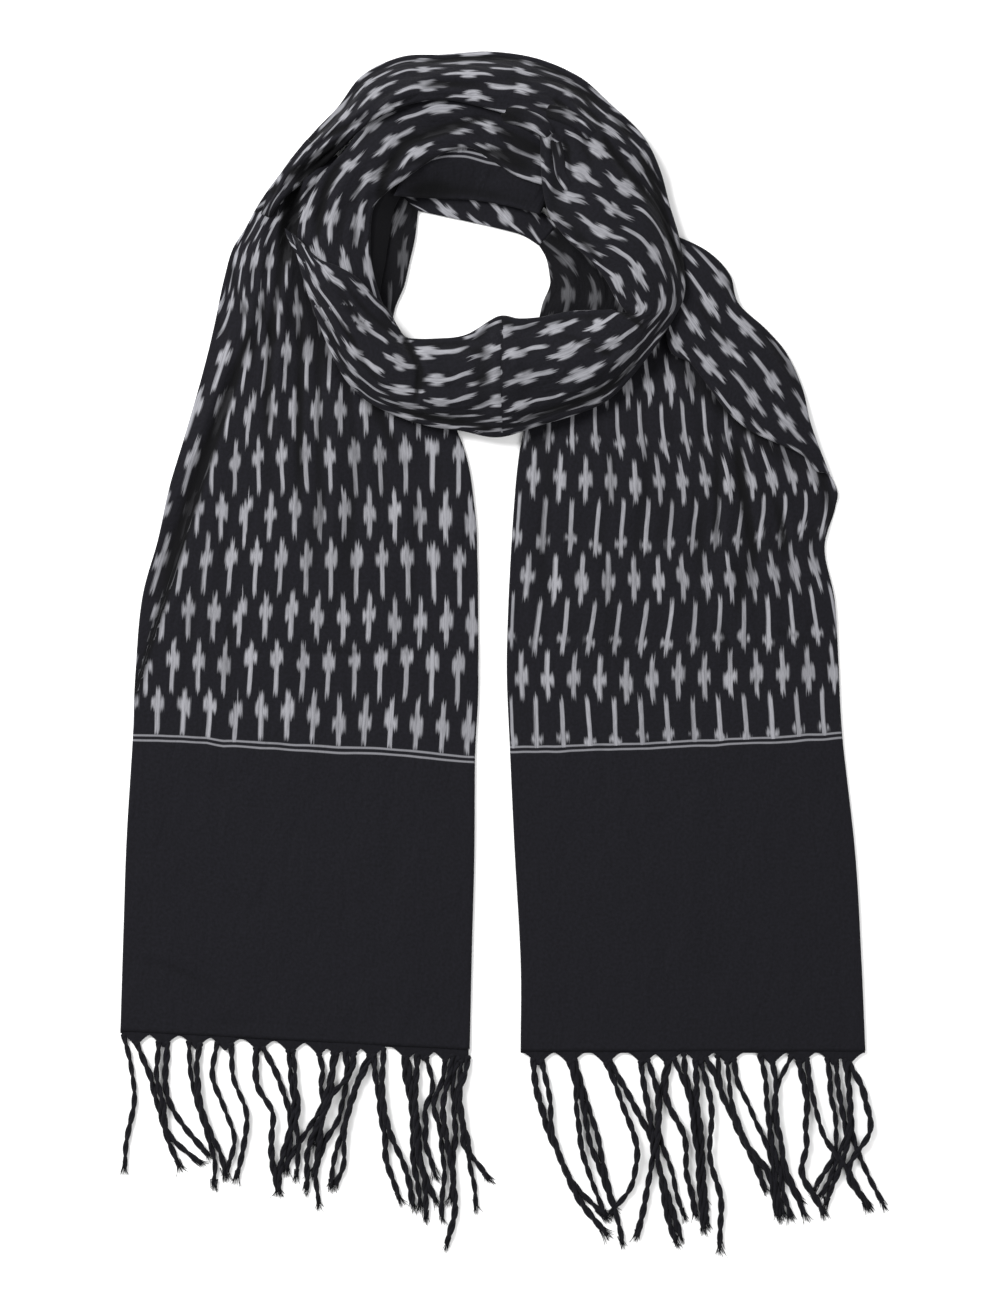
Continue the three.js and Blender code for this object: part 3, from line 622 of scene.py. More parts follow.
def shiftedCloth(u, v, face, sheet):
    x, y, across = face["x"], face["y"], face["across"]
    # towards an edge that turns under, more of the cloth is packed into each millimetre
    rise = np.clip((face["run"] / face["length"] - sheet["pressFrom"]) / pressRise, 0, 1)
    for key, far, sign in (("pressA", across, -1), ("pressB", 1 - across, 1)):
        reach, amount = sheet[key]
        near = np.clip(1 - far * face["wide"] / reach, 0, 1)
        u = u + sign * wayAcross(u) * amount * near**2 * rise
    # the cloth shifts a little wherever it was pushed together by hand
    alongHigh = sheet["warp"] * clothSlide["alongMore"]
    u = u + ripple(x, y, clothSlide["acrossWide"], sheet["warp"], sheet["seed"] + 40)
    v = v + ripple(x, y, clothSlide["alongWide"], alongHigh, sheet["seed"] + 60)
    for x1, y1, x2, y2, start, slip in sheet["pleats"]:
        # left of a pleat the warp runs beside its fold
        far, beside = fromLine(x, y, x1, y1, x2, y2)
        inside = np.clip(beside / 2, 0, 1) * (far < 1) * np.clip(far * 8 + 1, 0, 1)
        u = u * (1 - inside) + (start - beside + slip * (1 - far)) * inside
    for place, reach, lift in sheet["kinks"]:
        v = v + lift * np.clip((place - x) / reach, 0, 1)
    for placeX, topY, slip, reach, slant in sheet["tucks"]:
        # a tuck across the sheet, where a little of the cloth is hidden
        beside = placeX - slant * np.maximum(y - topY + tuckLean, 0) - x
        v = v + slip * np.clip(beside / reach, 0, 1) * (y < topY)
    return u, v


def paintedShadeOf(face, sheet):
    # how much shade is painted at each point, from 0 to 1: in hollows of the cloth, in pressed troughs, at
    # the start where the sheet goes in under another, and beside each pleat
    around = smoothed(face["z"], paintedFoldShade["passes"], mode="reflect", reflect_type="odd")
    shadeSources = [
        (around - face["z"] - paintedFoldShade["spare"]) / sheet["foldDeep"],
        (-face["pressed"] - paintedFoldShade["pressedFrom"]) / paintedFoldShade["pressedDeep"],
    ]
    # painted shade at the start, where the sheet goes in under the one it runs from, fading along it
    if sheet["startDrop"]:
        shadeSources.append(sheet["startDark"] - face["run"] / sheet["dropRun"] / paintedFoldShade["dropRuns"])
    # painted shade in a band beside each pleat's fold
    for x1, y1, x2, y2, _, _ in sheet["pleats"]:
        far, beside = fromLine(face["x"], face["y"], x1, y1, x2, y2)
        toneAndPaintedShade = paintedPleatShade["most"] - np.abs(beside - paintedPleatShade["at"]) / paintedPleatShade["half"]
        shadeSources.append(toneAndPaintedShade * (far > paintedPleatShade["before"]))
    return np.clip(np.max(shadeSources, axis=0), 0, 1)


def turnedEdge(edge, face, sheet):
    # the cloth past an edge: it rolls over and then lies turned under the sheet
    column, sign = (0, -1) if edge == "A" else (-1, 1)
    x, y, z, u, v = (face[key][:, [column]] for key in "xyzuv")
    roll = sheet["roll"]
    tuck = face["at"].get("tuck" + edge, sheet["tuck" + edge])
    share = np.arange(1, sheet["underCount"] + 1) / sheet["underCount"]
    under = tuck * share + 0 * x
    radius = np.minimum(roll, np.maximum(z / 2 - rollRoom, smallestRoll))
    out = sign * np.hstack([roll * np.sin(rollTurns) + 0 * x, -under])
    drop = np.hstack([
        radius * (1 - np.cos(rollTurns)), radius * (1 - np.cos(rollTurns[-1])) + underSlope * share,
    ])
    more = sign * np.hstack([roll * rollTurns + 0 * x, roll * math.pi + under])
    height = np.maximum(z - drop, lowestFold)
    points = np.stack([x + face["unitX"] * out, y + face["unitY"] * out, height], -1)
    cloth = np.stack([u + more * wayAcross(face["u"]), v + 0 * more], -1)
    if edge == "A":
        return points[:, ::-1], cloth[:, ::-1]
    return points, cloth


def clothMesh(name, vertices, faces, cloth):
    # a smooth mesh in metres, whose own map holds each vertex's place on the cloth in mm
    mesh = bpy.data.meshes.new(name)
    mesh.from_pydata((np.asarray(vertices) * mm).tolist(), [], faces)
    mesh.polygons.foreach_set("use_smooth", [True] * len(faces))
    layer = mesh.uv_layers.new(name="clothMap")
    corners = cloth[[corner.vertex_index for corner in mesh.loops]]
    layer.data.foreach_set("uv", corners.astype(np.float32).ravel())
    mesh.update()
    return newObject(name, mesh)


def gridFaces(rowCount, columnCount):
    index = np.arange(rowCount * columnCount).reshape(rowCount, columnCount)
    corners = [index[:-1, :-1], index[:-1, 1:], index[1:, 1:], index[1:, :-1]]
    return np.stack(corners, -1).reshape(-1, 4).tolist()


def clothSheet(name, piece):
    sheet = {**usual, **piece}
    nodes = sheet["nodes"]
    face = sheetFace(sheet)
    face["pressed"] = creaseHeight(face["x"], face["y"], sheet["creases"])
    face["z"] = faceHeight(face, sheet)
    face["u"], face["v"] = shiftedCloth(*clothPlaces(face, sheet), face, sheet)
    (pointsA, clothA), (pointsB, clothB) = (turnedEdge(edge, face, sheet) for edge in "AB")
    points = np.concatenate([pointsA, np.stack([face[key] for key in "xyz"], -1), pointsB], 1)
    cloth = np.concatenate([clothA, np.stack([face[key] for key in "uv"], -1), clothB], 1)
    turned = pointsA.shape[1], pointsB.shape[1]
    # painted shade on each vertex, carried out over the turned edges, kept in an attribute for the material
    paintedShade = np.pad(paintedShadeOf(face, sheet), ((0, 0), turned), mode="edge")

    flatPoints, faces = points.reshape(-1, 3), gridFaces(*points.shape[:2])
    obj = clothMesh(name, flatPoints, faces, cloth.reshape(-1, 2))
    paintedShadeAmount = obj.data.attributes.new("paintedShade", "FLOAT", "POINT")
    paintedShadeAmount.data.foreach_set("value", paintedShade.astype(np.float32).ravel())
    if sum(polygon.normal.z for polygon in obj.data.polygons[: len(faces) // 2]) < 0:
        obj.data.flip_normals()
    thicken = obj.modifiers.new("wall", "SOLIDIFY")
    thicken.thickness = sheetWall * mm
    thicken.offset = -1
    thicken.use_even_offset = False
    obj.data.materials.append(sheet["material"])
    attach(obj, "root")
    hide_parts(*nodes)
    lyingTrees.append(BVHTree.FromPolygons((flatPoints * mm).tolist(), faces))


leftTailCloth = makeCloth("leftTailCloth", {
    "Start": -14.5, "Cross At": 4.5, "Cross Slope": -3.0, "Pin At": 3.5, "Pin Slope": 3.0,
    "Flaw Column": 2.0,
})
rightTailCloth = makeCloth("rightTailCloth", {
    "End": 41.5, "Cross At": 1.0, "Pin At": 9.5, "Pin Body": 2.3, "Pin Broken": 0.3,
})
loopPattern = {"Cross At": 1.0, "Pin At": 5.5}
loopCloth = makeCloth("loopCloth", loopPattern, crumple=0.55)
# painted shade: the loop's cloth at half its ground and about a quarter of its marks, for the inside of the
# neck, where shade falls
innerClothPaintedShade = makeCloth("innerClothPaintedShade", loopPattern, toneAndPaintedShade=0.5, paintedMarkShade=0.27, crumple=0.55)
bandCloth = makeCloth("bandCloth", {"Start": -3.0}, crumple=0.4)
# painted shade: plain cloth at half its ground, for the hidden layers that show only in the dark gaps
plainClothPaintedShade = makeCloth("plainClothPaintedShade", toneAndPaintedShade=0.5)

# a crease is its two ends, its half width, its height and its bow; a trough also darkens the colour with
# painted shade
leftTail = {
    "nodes": ["left_tail", "left_shoulder"], "columns": tailColumns, "material": leftTailCloth,
    "roll": 1.5, "seed": 1.5, "restsOn": ["floor"], "grain": 2.2, "underCount": 14, "rippleHigh": 0.45,
    "gather": (0.15, 2.6, 9.0), "warp": 0.45, "pressA": (17, 17), "pressFrom": 0.5,
    "pleats": [(-166.7, 196.6, -238, -27, 18.4, 2.0)], "kinks": [(-182, 10, -2.2)],
    "rows": [
        [-247, -247, -20, -259, -1.92, 4.68, 11.34, -3.27, -3.27, -3.26, 1, 215],
        [-245, -182, -18.5, -191, -1.92, 4.68, 11.34, -2.24, -2.22, -2.19, 1, 215],
        [-243, -123, -17, -133, -1.92, 4.68, 11.34, -1.31, -1.30, -1.27, 1, 215],
        [-239, -58, -16.5, -69, -1.92, 4.68, 11.34, -0.27, -0.29, -0.255, 1, 210],
        [-237.5, -19, -14.5, -27.5, -1.9, 4.68, 11.3, 0.377, 0.296, 0.36, 1, 205],
        [-233, 33, -14.5, 22, -1.85, 4.7, 11.23, 1.19, 1.096, 1.09, 1, 190],
        [-222.5, 72, -15, 59, -1.6, 4.95, 11.18, 1.77, 1.656, 1.62, 1, 170],
        [-215, 106, -16.5, 90, -1.25, 5.1, 11.15, 2.31, 2.14, 2.06, 1, 140],
        [-205, 139.5, -24.5, 133.5, -0.9, 5.29, 10.6, 2.82, 2.72, 2.7, 1, 100],
        [-192, 185.5, -48, 177, -0.7, 4.9, 9.2, 3.5, 3.4, 3.36, 2, 60],
        [-185, 215.5, -80, 207, -0.6, 3.9, 7.4, 3.95, 3.85, 3.8, 3, 30],
        [-180, 239.5, -100, 236, -0.5, 3.4, 6.3, 4.32, 4.27, 4.25, 4, 14],
        [-174.5, 259.5, -112, 257, -0.4, 3.0, 5.5, 4.66, 4.62, 4.58, 4, 12],
        [-165.5, 274.5, -116, 272, -0.2, 2.8, 5.0, 4.96, 4.9, 4.86, 4, 10],
        [-157, 290, -108, 286, 0.0, 2.6, 4.9, 5.24, 5.2, 5.14, 4, 8],
        [-147, 304.5, -101, 295, 0.3, 2.5, 4.6, 5.52, 5.45, 5.4, 3, 6],
        [-137, 316.5, -95, 304, 0.6, 2.4, 4.2, 5.78, 5.7, 5.65, 3, 4],
        [-124, 330, -90, 312, 0.8, 2.2, 3.8, 6.06, 6.0, 5.95, 3, 4],
    ],
    "creases": [
        # painted shade: the deep troughs next to the loop's left edge and the two wide ones beside the loop
        # darken the tail's colour, besides shaping it
        (-166.7, 196.6, -223.9, 17.2, 4, -2.6, -1), (-135, 312, -140, 256, 8, -6.5, 0),
        (-128, 322, -142, 296, 7, -4, 0), (-144, 272, -113, 182, 22, -1.7, 3),
        (-118, 200, -80, 138, 19, -1.4, 2), (-176, 190, -222, 60, 4, 2.0, -2),
        (-159, 208, -222, 35, 6, -2.6, -5), (-168, 215, -232, 40, 7, 1.8, -5),
        (-153.5, 283, -176, 163, 6, 2.5, 4), (-141, 262, -153, 150, 5, -2.2, -3),
        (-139, 250, -146, 120, 5, 2.2, -2), (-131, 215, -133, 84, 4.5, -2.4, 0),
        (-109.5, 190, -114.5, 33, 6, 2.0, 3), (-120, 200, -121, 100, 4, -1.6, 1),
        (-96, 200, -84, 110, 6, 1.6, -3), (-90, 170, -62, 110, 6, -1.4, 2),
        (-58.7, 112, -60, 6, 4, -0.9, 1), (-30, 110, -34, 30, 6, 0.9, 0),
        (-146, 3, -52, -2.5, 1.8, -1.2, -1.5), (-190, 60, -204, -40, 6, 1.2, 2),
        (-176, 40, -180, -35, 5, -0.9, 0), (-244, -200, -182, -222, 3.2, -0.8, 4),
        (-190, -241, -152, -243, 2.6, -0.7, 1), (-244, -196, -190, -214, 3.2, 0.5, 4),
        (-60, -120, -64, -230, 14, 0.7, 0),
    ],
}
rightTail = {
    "nodes": ["right_tail"], "columns": tailColumns, "material": rightTailCloth, "roll": 1.5,
    "seed": 7.5, "restsOn": ["floor"], "grain": 2.2, "underCount": 14, "rippleHigh": 0.45,
    "gather": (0.15, 2.4, 10.0), "warp": 0.45,
    "rows": [
        [237, -260, 13, -260, 12.2, 5.78, -0.55, 3.94, 3.84, 3.79, 1, 210],
        [234.5, -202.5, 13, -202.5, 12.2, 5.78, -0.55, 3.03, 2.93, 2.88, 1, 210],
        [230.5, -133, 9, -128.5, 12.2, 5.78, -0.55, 1.93, 1.8, 1.715, 1, 208],
        [222, -55, 6, -63.5, 12.2, 5.78, -0.55, 0.70, 0.68, 0.69, 1, 200],
        [219.5, -6, 4, -14, 12.2, 5.78, -0.55, -0.07, -0.12, -0.03, 1, 190],
        [217, 33, 5, 29, 12.5, 5.5, -0.6, -0.65, -0.77, -0.684, 1, 180],
        [210.5, 66.5, 7, 68.5, 12.7, 5.45, -0.62, -1.145, -1.34, -1.283, 1, 160],
        [217.5, 92.5, 9, 98, 12.9, 5.6, -0.62, -1.52, -1.756, -1.727, 1, 130],
        [217.5, 107.5, 11.5, 124, 13.0, 5.8, -0.62, -1.83, -2.105, -2.12, 1, 100],
        [200, 137, 16, 146.5, 12.4, 5.7, -0.5, -2.22, -2.48, -2.47, 2, 60],
        [186, 163, 24, 169.5, 11.5, 5.6, -0.1, -2.6, -2.87, -2.82, 3, 40],
        [165, 187.5, 33.5, 194, 10.2, 5.4, 0.4, -2.98, -3.25, -3.2, 3, 20],
        [141, 205, 46.5, 211.5, 8.7, 5.0, 1.1, -3.25, -3.5, -3.45, 3, 12],
    ],
    "creases": [
        # painted shade: the wide first trough lies under the shoulder band's lower edge and darkens the
        # tail where the band shades it
        (104, 196, 202, 112, 11, -2.2, -3), (92, 186, 30, 150, 14, -1.2, -3),
        (139, 150, 137.5, 58, 3.6, -2.4, 1), (146, 150, 144, 50, 5, 2.2, 1),
        (153, 140, 165, 60, 3.6, -2.6, -2), (161, 136, 176, 40, 6, 2.2, -2),
        (172, 110, 184, 60, 4, -1.6, 2), (150, 62, 152, 18, 5, -1.8, 2),
        (140, 22, 150, -18, 6, -1.2, 0), (186, 104, 196, 50, 6, 1.6, -3),
        (176.5, 12.9, 199, 4, 2.2, -1.3, 2), (176.5, 16, 199, 8, 3, 0.9, 2),
        (120, 150, 118, 60, 7, 1.2, 0), (84, 150, 80, 80, 9, 1.0, 2), (206, 120, 214, 60, 5, -1.8, 3),
        (60, 30, 58, -40, 10, 0.7, 0), (120, -80, 116, -220, 16, 0.7, 4),
    ],
}
neckEdge = {
    "nodes": ["neck_edge"], "columns": turnedColumns, "material": loopCloth, "roll": 1.0,
    "seed": 11.5, "restsOn": ["floor"], "u": 4, "v": 8, "tuckA": 3, "tuckB": 4,
    "rows": [
        [-73, 303, -53.5, 285.5, 30], [-38, 299, -39.5, 282.5, 38], [-15, 298, -18.5, 278, 40],
        [6, 294.5, 1, 273.5, 34], [22, 288, 14.5, 269.5, 26], [37.5, 276, 25, 263, 20],
    ],
}
innerLeft = {
    "nodes": ["inner_left"], "material": innerClothPaintedShade, "roll": 1.0, "seed": 13.5,
    "restsOn": ["floor"], "u": 6, "v": 20, "tuckA": 3, "tuckB": 4,
    "rows": [
        [-73, 303, -53.5, 285.5], [-88.5, 272, -55.5, 268], [-88, 252.5, -59, 252.5],
        [-86, 238, -62.5, 237], [-80, 224, -68, 224], [-76, 215, -70, 215],
    ],
    "creases": [(-70, 285, -68, 235, 4, 1.5, 0)],
}
innerRight = {
    "nodes": ["inner_right"], "material": innerClothPaintedShade, "roll": 1.0, "seed": 15.5,
    "restsOn": ["floor"], "u": 3, "v": 12, "tuckA": 3, "tuckB": 4,
    "rows": [
        [37.5, 276, 25, 263], [59.5, 260.5, 29.5, 255], [74, 248.5, 31.5, 245.5], [83, 234.5, 32, 237],
        [87, 218, 27.5, 226], [80, 198.5, 24.5, 213.5],
    ],
    "creases": [(44, 262, 46, 225, 5, 2, 0)],
}
neckBand = {
    "nodes": ["neck_band"], "material": bandCloth, "slot": "plain_band", "turned": True,
    "roll": 1.5, "seed": 17.5, "restsOn": ["neckEdge"], "u": 0, "v": 0, "tuckA": 4, "tuckB": 6,
    "rows": [
        [-56, 319, -69, 294], [-33, 326.5, -38, 293], [-9, 324, -17, 292], [14, 317, 6, 288],
        [37.5, 307, 25.5, 282.5],
    ],
    "creases": [(-50, 302, 20, 296, 5, 1, 2)],
}
innerWrap = {
    "nodes": ["inner_wrap_left", "inner_wrap_back"], "material": loopCloth, "roll": 2.2,
    "seed": 19.5, "grain": 1.8, "smooth": 24, "gather": (1.6, 1.6, 7.0), "warp": 2.2,
    "restsOn": ["neckBand"], "u": 3, "v": 10, "foldDeep": 0.8,
    "rows": [
        [-126, 234.5, -75, 220], [-131, 257, -83, 248.5], [-130.5, 276, -84, 268],
        [-122, 296, -81.5, 286.5], [-111, 312, -73, 296.5], [-99, 325, -59, 306],
        [-88.5, 339.5, -46, 315.5], [-66, 352.5, -33, 322], [-38, 359, -19, 324], [-12, 356, -6, 316.5],
        [12, 350, 11, 306], [32, 341.5, 27, 300.5],
    ],
    "creases": [
        (-81.5, 264, -65, 328.5, 4, -3.2, 5), (-120, 262, -104, 318, 4, -2.4, 4),
        (-92, 268, -80, 318, 3.5, 2, 4), (-65, 328.5, -20, 340, 4, -2.4, -2),
        (-70, 312, -20, 330, 3, -1.8, -3), (0, 346, 28, 330, 3, -2.4, 2),
        (-82, 291, -57, 332, 4, -2.2, 2), (-84, 296, -66, 318, 5, 2.2, -2),
        (-112, 262, -100, 309, 6, 2, 3), (-97, 250, -90, 300, 4, -1.4, 2),
        (-60, 322, -10, 338, 5, 1.6, 3), (-50, 333, 0, 345, 3.5, -1.6, 2),
        # painted shade: the last two wide troughs darken the wrap along its lower right edge, under the
        # loop
        (-44, 326, 10, 322, 3, -1.2, -2), (-14, 324, 22, 309, 9, -2.9, 1),
        (-4, 335, 26, 318, 8, -2.6, 1),
    ],
}
shoulderBand = {
    "nodes": ["shoulder_band"], "material": loopCloth, "roll": 1.8, "seed": 21.5,
    "restsOn": ["rightTail"], "u": 0, "v": 0, "tuckA": 5, "tuckB": 7,
    "rows": [
        [112, 270, 110, 226], [134, 259.5, 107, 207], [149, 244, 111, 192.5], [154.5, 225, 123, 186],
        [172.5, 208.5, 135, 170.5], [186, 192.5, 145.5, 156.5], [196, 170.5, 160, 143.5],
        [201, 148.5, 180, 134], [207, 131.5, 196, 126.5], [213.5, 115, 205, 116],
    ],
    "creases": [
        (131, 244, 180, 176, 6, 2, 3), (118, 232, 150, 190, 5, -1.5, 2),
        (143, 257, 151, 224, 6, -3.2, 3), (168, 206, 196, 160, 4, -1.8, 3),
    ],
}
loop = {
    "nodes": ["top_wrap", "right_wrap", "front_right", "front_left", "front_corner"],
    "columns": turnedColumns, "material": loopCloth, "roll": 2.4, "seed": 25.5, "grain": 1.8,
    "smooth": 24, "startDrop": 6.0, "startDark": 0.4, "gather": (1.7, 1.5, 8.5), "warp": 2.2,
    "restsOn": ["innerWrap", "shoulderBand"], "pressA": (20, 24), "pressB": (7, 5), "u": 2, "v": 21.5,
    "tucks": [(-0.7, 222, 11, 0.1, 0), (-51, 212, 6, 3, 0.4)], "foldDeep": 0.8,
    "rows": [
        [-155.5, 283, -149.5, 280, 0, -13], [-148.5, 299.5, -139, 294, 0, -13],
        [-137, 317.5, -122, 308, 0, -12], [-120.5, 337, -103, 324, 0, -9],
        [-105.5, 352.5, -89.5, 337, 0, -6], [-89.5, 373, -74, 346, 0, -3], [-64, 385, -54, 353, 0, -1],
        [-38, 386.5, -33.5, 354.5], [-7, 388.5, -12, 350, -3], [24, 384, 7.5, 344, -12],
        [51.5, 372, 24, 333, -20], [71, 354.5, 25.5, 315.5, -28], [92, 334, 27.5, 296, -32],
        [103.5, 311, 32, 280, -34], [110, 287.5, 44, 264, -34], [116, 267, 57, 252.5, -28],
        [119, 247.5, 67, 240, -18], [119, 230.5, 74.5, 226.5, -8], [114, 218, 81, 217.5, -4],
        [103, 200.5, 72.5, 220], [89.5, 182.5, 61, 220], [71, 163, 44.5, 219.5], [50, 153, 27, 216, -4],
        [25, 145.5, 12, 215, -8], [-1, 138, -1.5, 216.5, -10], [-25, 142, -22.5, 204.5, -10],
        [-48, 145.5, -43, 202, -10], [-68, 152, -60, 202.5, -12], [-86, 161, -66, 209, -14],
        [-100, 174.5, -72, 219.5, -15], [-109.5, 192, -82, 229.5, -15], [-118.5, 213.5, -92, 240, -15],
        [-126, 234.5, -104.5, 247.5, -12], [-131, 252.5, -117.5, 253, -8],
        [-135, 269.5, -130.5, 266, -5],
    ],
    "creases": [
        (-104, 328, -137, 302, 6, -4.5, 2), (62, 335, 103, 283, 3.8, -5.4, -1.5),
        (100, 289, 117, 240, 3.6, -4.6, 1), (84, 330, 116, 282, 5, 2.6, 3),
        (12, 345, 36, 331, 2.6, -3, 2), (20, 352, 44, 338, 2.6, -2.6, 1),
        (32, 356, 56, 340, 2.8, -2.6, -1), (46, 354, 66, 338, 2.8, -2.4, 1),
        (30, 334, 33, 312, 2.8, -2.8, 1), (40, 330, 44, 306, 2.6, -2.2, 0),
        (50, 328, 58, 312, 2.8, -1.8, 0), (26, 340, 30, 300, 3, 1.8, 0),
        (-92, 344, -36, 357, 4, -2.2, -5), (-65, 361, -6, 362, 5, -2.4, 4),
        (-120, 330, -70, 362, 4, -2.2, -4), (-60, 378, 10, 382, 4, -1.8, 3),
        (20, 372, 62, 352, 5, -2.0, 2), (70, 222, 92, 206, 4, -3.2, 2), (60, 216, 90, 190, 5, 1.8, 2),
        (30, 206, 80, 184, 4, -1.8, 2), (-1, 216, -1, 140, 2.4, -2.8, 0),
        (-13, 214, -13, 144, 10, -1.5, 0), (8, 212, 8, 148, 6, 1.2, 0),
        (-66, 204, -53, 177, 3, -3.2, 2), (-54, 182, -58, 158, 3, -2.8, 1),
        (-30, 196, -10, 192, 4, -1.4, 0), (-118, 226, -88, 184, 3, -2.2, 2),
        (-104, 240, -74, 206, 3, -2.0, -2), (-110, 200, -70, 160, 3, -1.6, 3),
        (10, 150, 70, 172, 3, -1.6, -2), (-70, 158, -20, 148, 3, -1.6, -2),
        (-106, 339.5, -44.5, 372, 6, 2.5, -3), (-130, 322, -88, 364, 4, 2, -2),
        (-44.5, 372, 14, 376, 6, 2, -3), (66, 358, 108, 293, 5, 2.5, 4), (60, 322, 92, 284, 9, 1.4, 2),
        (17, 345, 36, 328, 3.5, 2.6, 0), (30, 347, 50, 328, 3.5, 2.4, 2), (46, 348, 64, 332, 3.5, 2, 0),
        (24, 340, 44, 322, 3, -2, 0), (38, 340, 58, 324, 3, -2, 1), (92, 198.5, 40, 163, 6, 2, -3),
        (-1, 214, -1, 141, 4, 1.5, 0), (-64, 198.5, -48, 163, 5, -1.5, 2),
        (-122.5, 234, -96.5, 182, 5, 1.8, 3), (-110, 240, -78, 196, 4, -1.6, -2),
    ],
}
# small puckers where the turns pull together at the back of the neck
pucker = {
    "nodes": ["top_wrap", "right_wrap"], "material": loopCloth, "roll": 1.2, "grain": 1.4,
    "restsOn": ["loop"], "u": 2, "tuckA": 3, "tuckB": 3, "gather": (0.6, 0.6, 3.0), "rippleWide": 9,
    "rippleHigh": 1.0, "startDrop": 3.0, "endDrop": 3.0, "dropRun": 9,
}
puckerLow = {**pucker, "seed": 31.5, "v": 12, "rows": [
    [1, 350, 0, 341.5], [14, 348.5, 12, 339], [27, 343, 23, 334], [36, 334, 31, 328],
]}
puckerHigh = {**pucker, "seed": 33.5, "v": 47, "rows": [
    [28, 352, 27, 344], [42, 349, 39, 340], [54, 342.5, 50, 335], [64, 333, 58, 328],
]}
puckerSide = {**pucker, "seed": 35.5, "v": 3, "rows": [
    [38, 331, 31, 331], [41, 320, 33.5, 318.5], [42.5, 308, 36, 305], [49, 297, 44, 293],
]}
hiddenNodes = ["hidden_left", "hidden_top", "hidden_right", "hidden_front_right", "hidden_front_left"]

clothSheet("leftTail", leftTail)
clothSheet("rightTail", rightTail)
clothSheet("neckEdge", neckEdge)
clothSheet("innerLeft", innerLeft)
clothSheet("innerRight", innerRight)
# the hidden layers get the plain cloth with painted shade
for node in hiddenNodes:
    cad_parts[node].data.materials.clear()
    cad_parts[node].data.materials.append(plainClothPaintedShade)
lyingTrees.append(solidTree(*hiddenNodes))
clothSheet("neckBand", neckBand)
clothSheet("innerWrap", innerWrap)
clothSheet("shoulderBand", shoulderBand)
clothSheet("loop", loop)
clothSheet("puckerLow", puckerLow)
clothSheet("puckerHigh", puckerHigh)
clothSheet("puckerSide", puckerSide)
print("cloth laid")


# Fringe

fringe = {"lift": 1.9, "levels": (0.2, 1.7, 3.0), "step": 2.2, "wander": 0.7}
hemLook = {
    "cell": 1.25, "over": 1.5, "tall": 2.9, "tooth": 8.5, "toothHalf": 9.5, "toothPoint": 1.3,
    "high": 0.9, "slope": 0.5, "thick": 1.6, "strandGap": 1.6, "strandDrawn": 0.7,
}
plyLook = {
    "radius": 1.25, "uneven": 0.12, "twist": 21.0, "swell": 0.12, "swellRun": 11, "apart": 0.72,
    "lowest": 0.1, "sides": 6, "ends": (0.9, 0.75, 0.5),
}
knotLook = {"from": -0.6, "to": 2.6, "radii": (0.8, 1.9, 2.1, 1.8, 0.9), "uneven": 0.1, "sides": 8}
frayLook = {
    "fibres": 16, "lean": 0.16, "length": 11.0, "shortest": 0.45, "spread": 0.8, "uneven": 0.25,
    "sink": 0.2, "lowest": 0.5, "radii": (0.5, 0.42, 0.34, 0.26, 0.12), "sides": 3,
}
# Each strand leaves the hem at its first X, passes the next three at each quarter of its drop, and ends
# at the fifth X and the tip's Y. The points are where the knots draw the hem down.
leftFringe = {
    "node": "left_fringe", "hem": ((-247, -247), (-20, -259)), "seed": 5,
    "points": [-237, -219, -198, -179, -157, -136.5, -118, -107, -97, -84, -61, -50, -36, -25],
    "strands": [
        [-245, -239, -238, -243, -244, -336.5], [-236.5, -228.5, -222, -217.5, -208.5, -335.5],
        [-222, -223.5, -219, -215.5, -194, -334], [-216.5, -218, -215.5, -206, -189.5, -328.5],
        [-202.5, -202, -194.5, -187, -186.5, -348], [-195, -197, -193, -184.5, -179, -340.5],
        [-184, -186.5, -179.5, -174, -178.5, -339.5], [-175, -173.5, -165, -167, -171.5, -342.5],
        [-159, -158, -147.5, -148, -144.5, -351], [-154.5, -143, -137, -141, -144.5, -350.5],
        [-138, -136, -134, -135.5, -139, -337], [-135, -133, -131.5, -131.5, -132.5, -341.5],
        [-118, -115, -119, -130, -140, -336], [-108.5, -111.5, -117.5, -126.5, -126, -350],
        [-106.5, -110, -116, -119.5, -118, -359.5], [-101, -99.5, -104.5, -115, -122, -341],
        [-95, -98.5, -111, -117, -119.5, -321.5], [-84, -93.5, -100.5, -101.5, -107.5, -347.5],
        [-85, -94, -101.5, -107, -110, -348], [-82.5, -80, -76.5, -72.5, -65.5, -356.5],
        [-76, -77.5, -72, -63.5, -57, -361], [-62.5, -59.5, -57.5, -55.5, -52, -361],
        [-61, -56.5, -53.5, -51, -42, -358.5], [-54, -55.5, -54.5, -51, -48.5, -368],
        [-48.5, -43.5, -48.5, -47.5, -42.5, -341], [-36, -42, -38.5, -37, -38.5, -368],
        [-31, -36.5, -34, -30, -35, -385.5], [-27.5, -31, -29.5, -30.5, -32, -356.5],
        [-25.5, -27, -23.5, -20, -16, -361], [-21, -25.5, -24.5, -22, -7.5, -344],
    ],
}
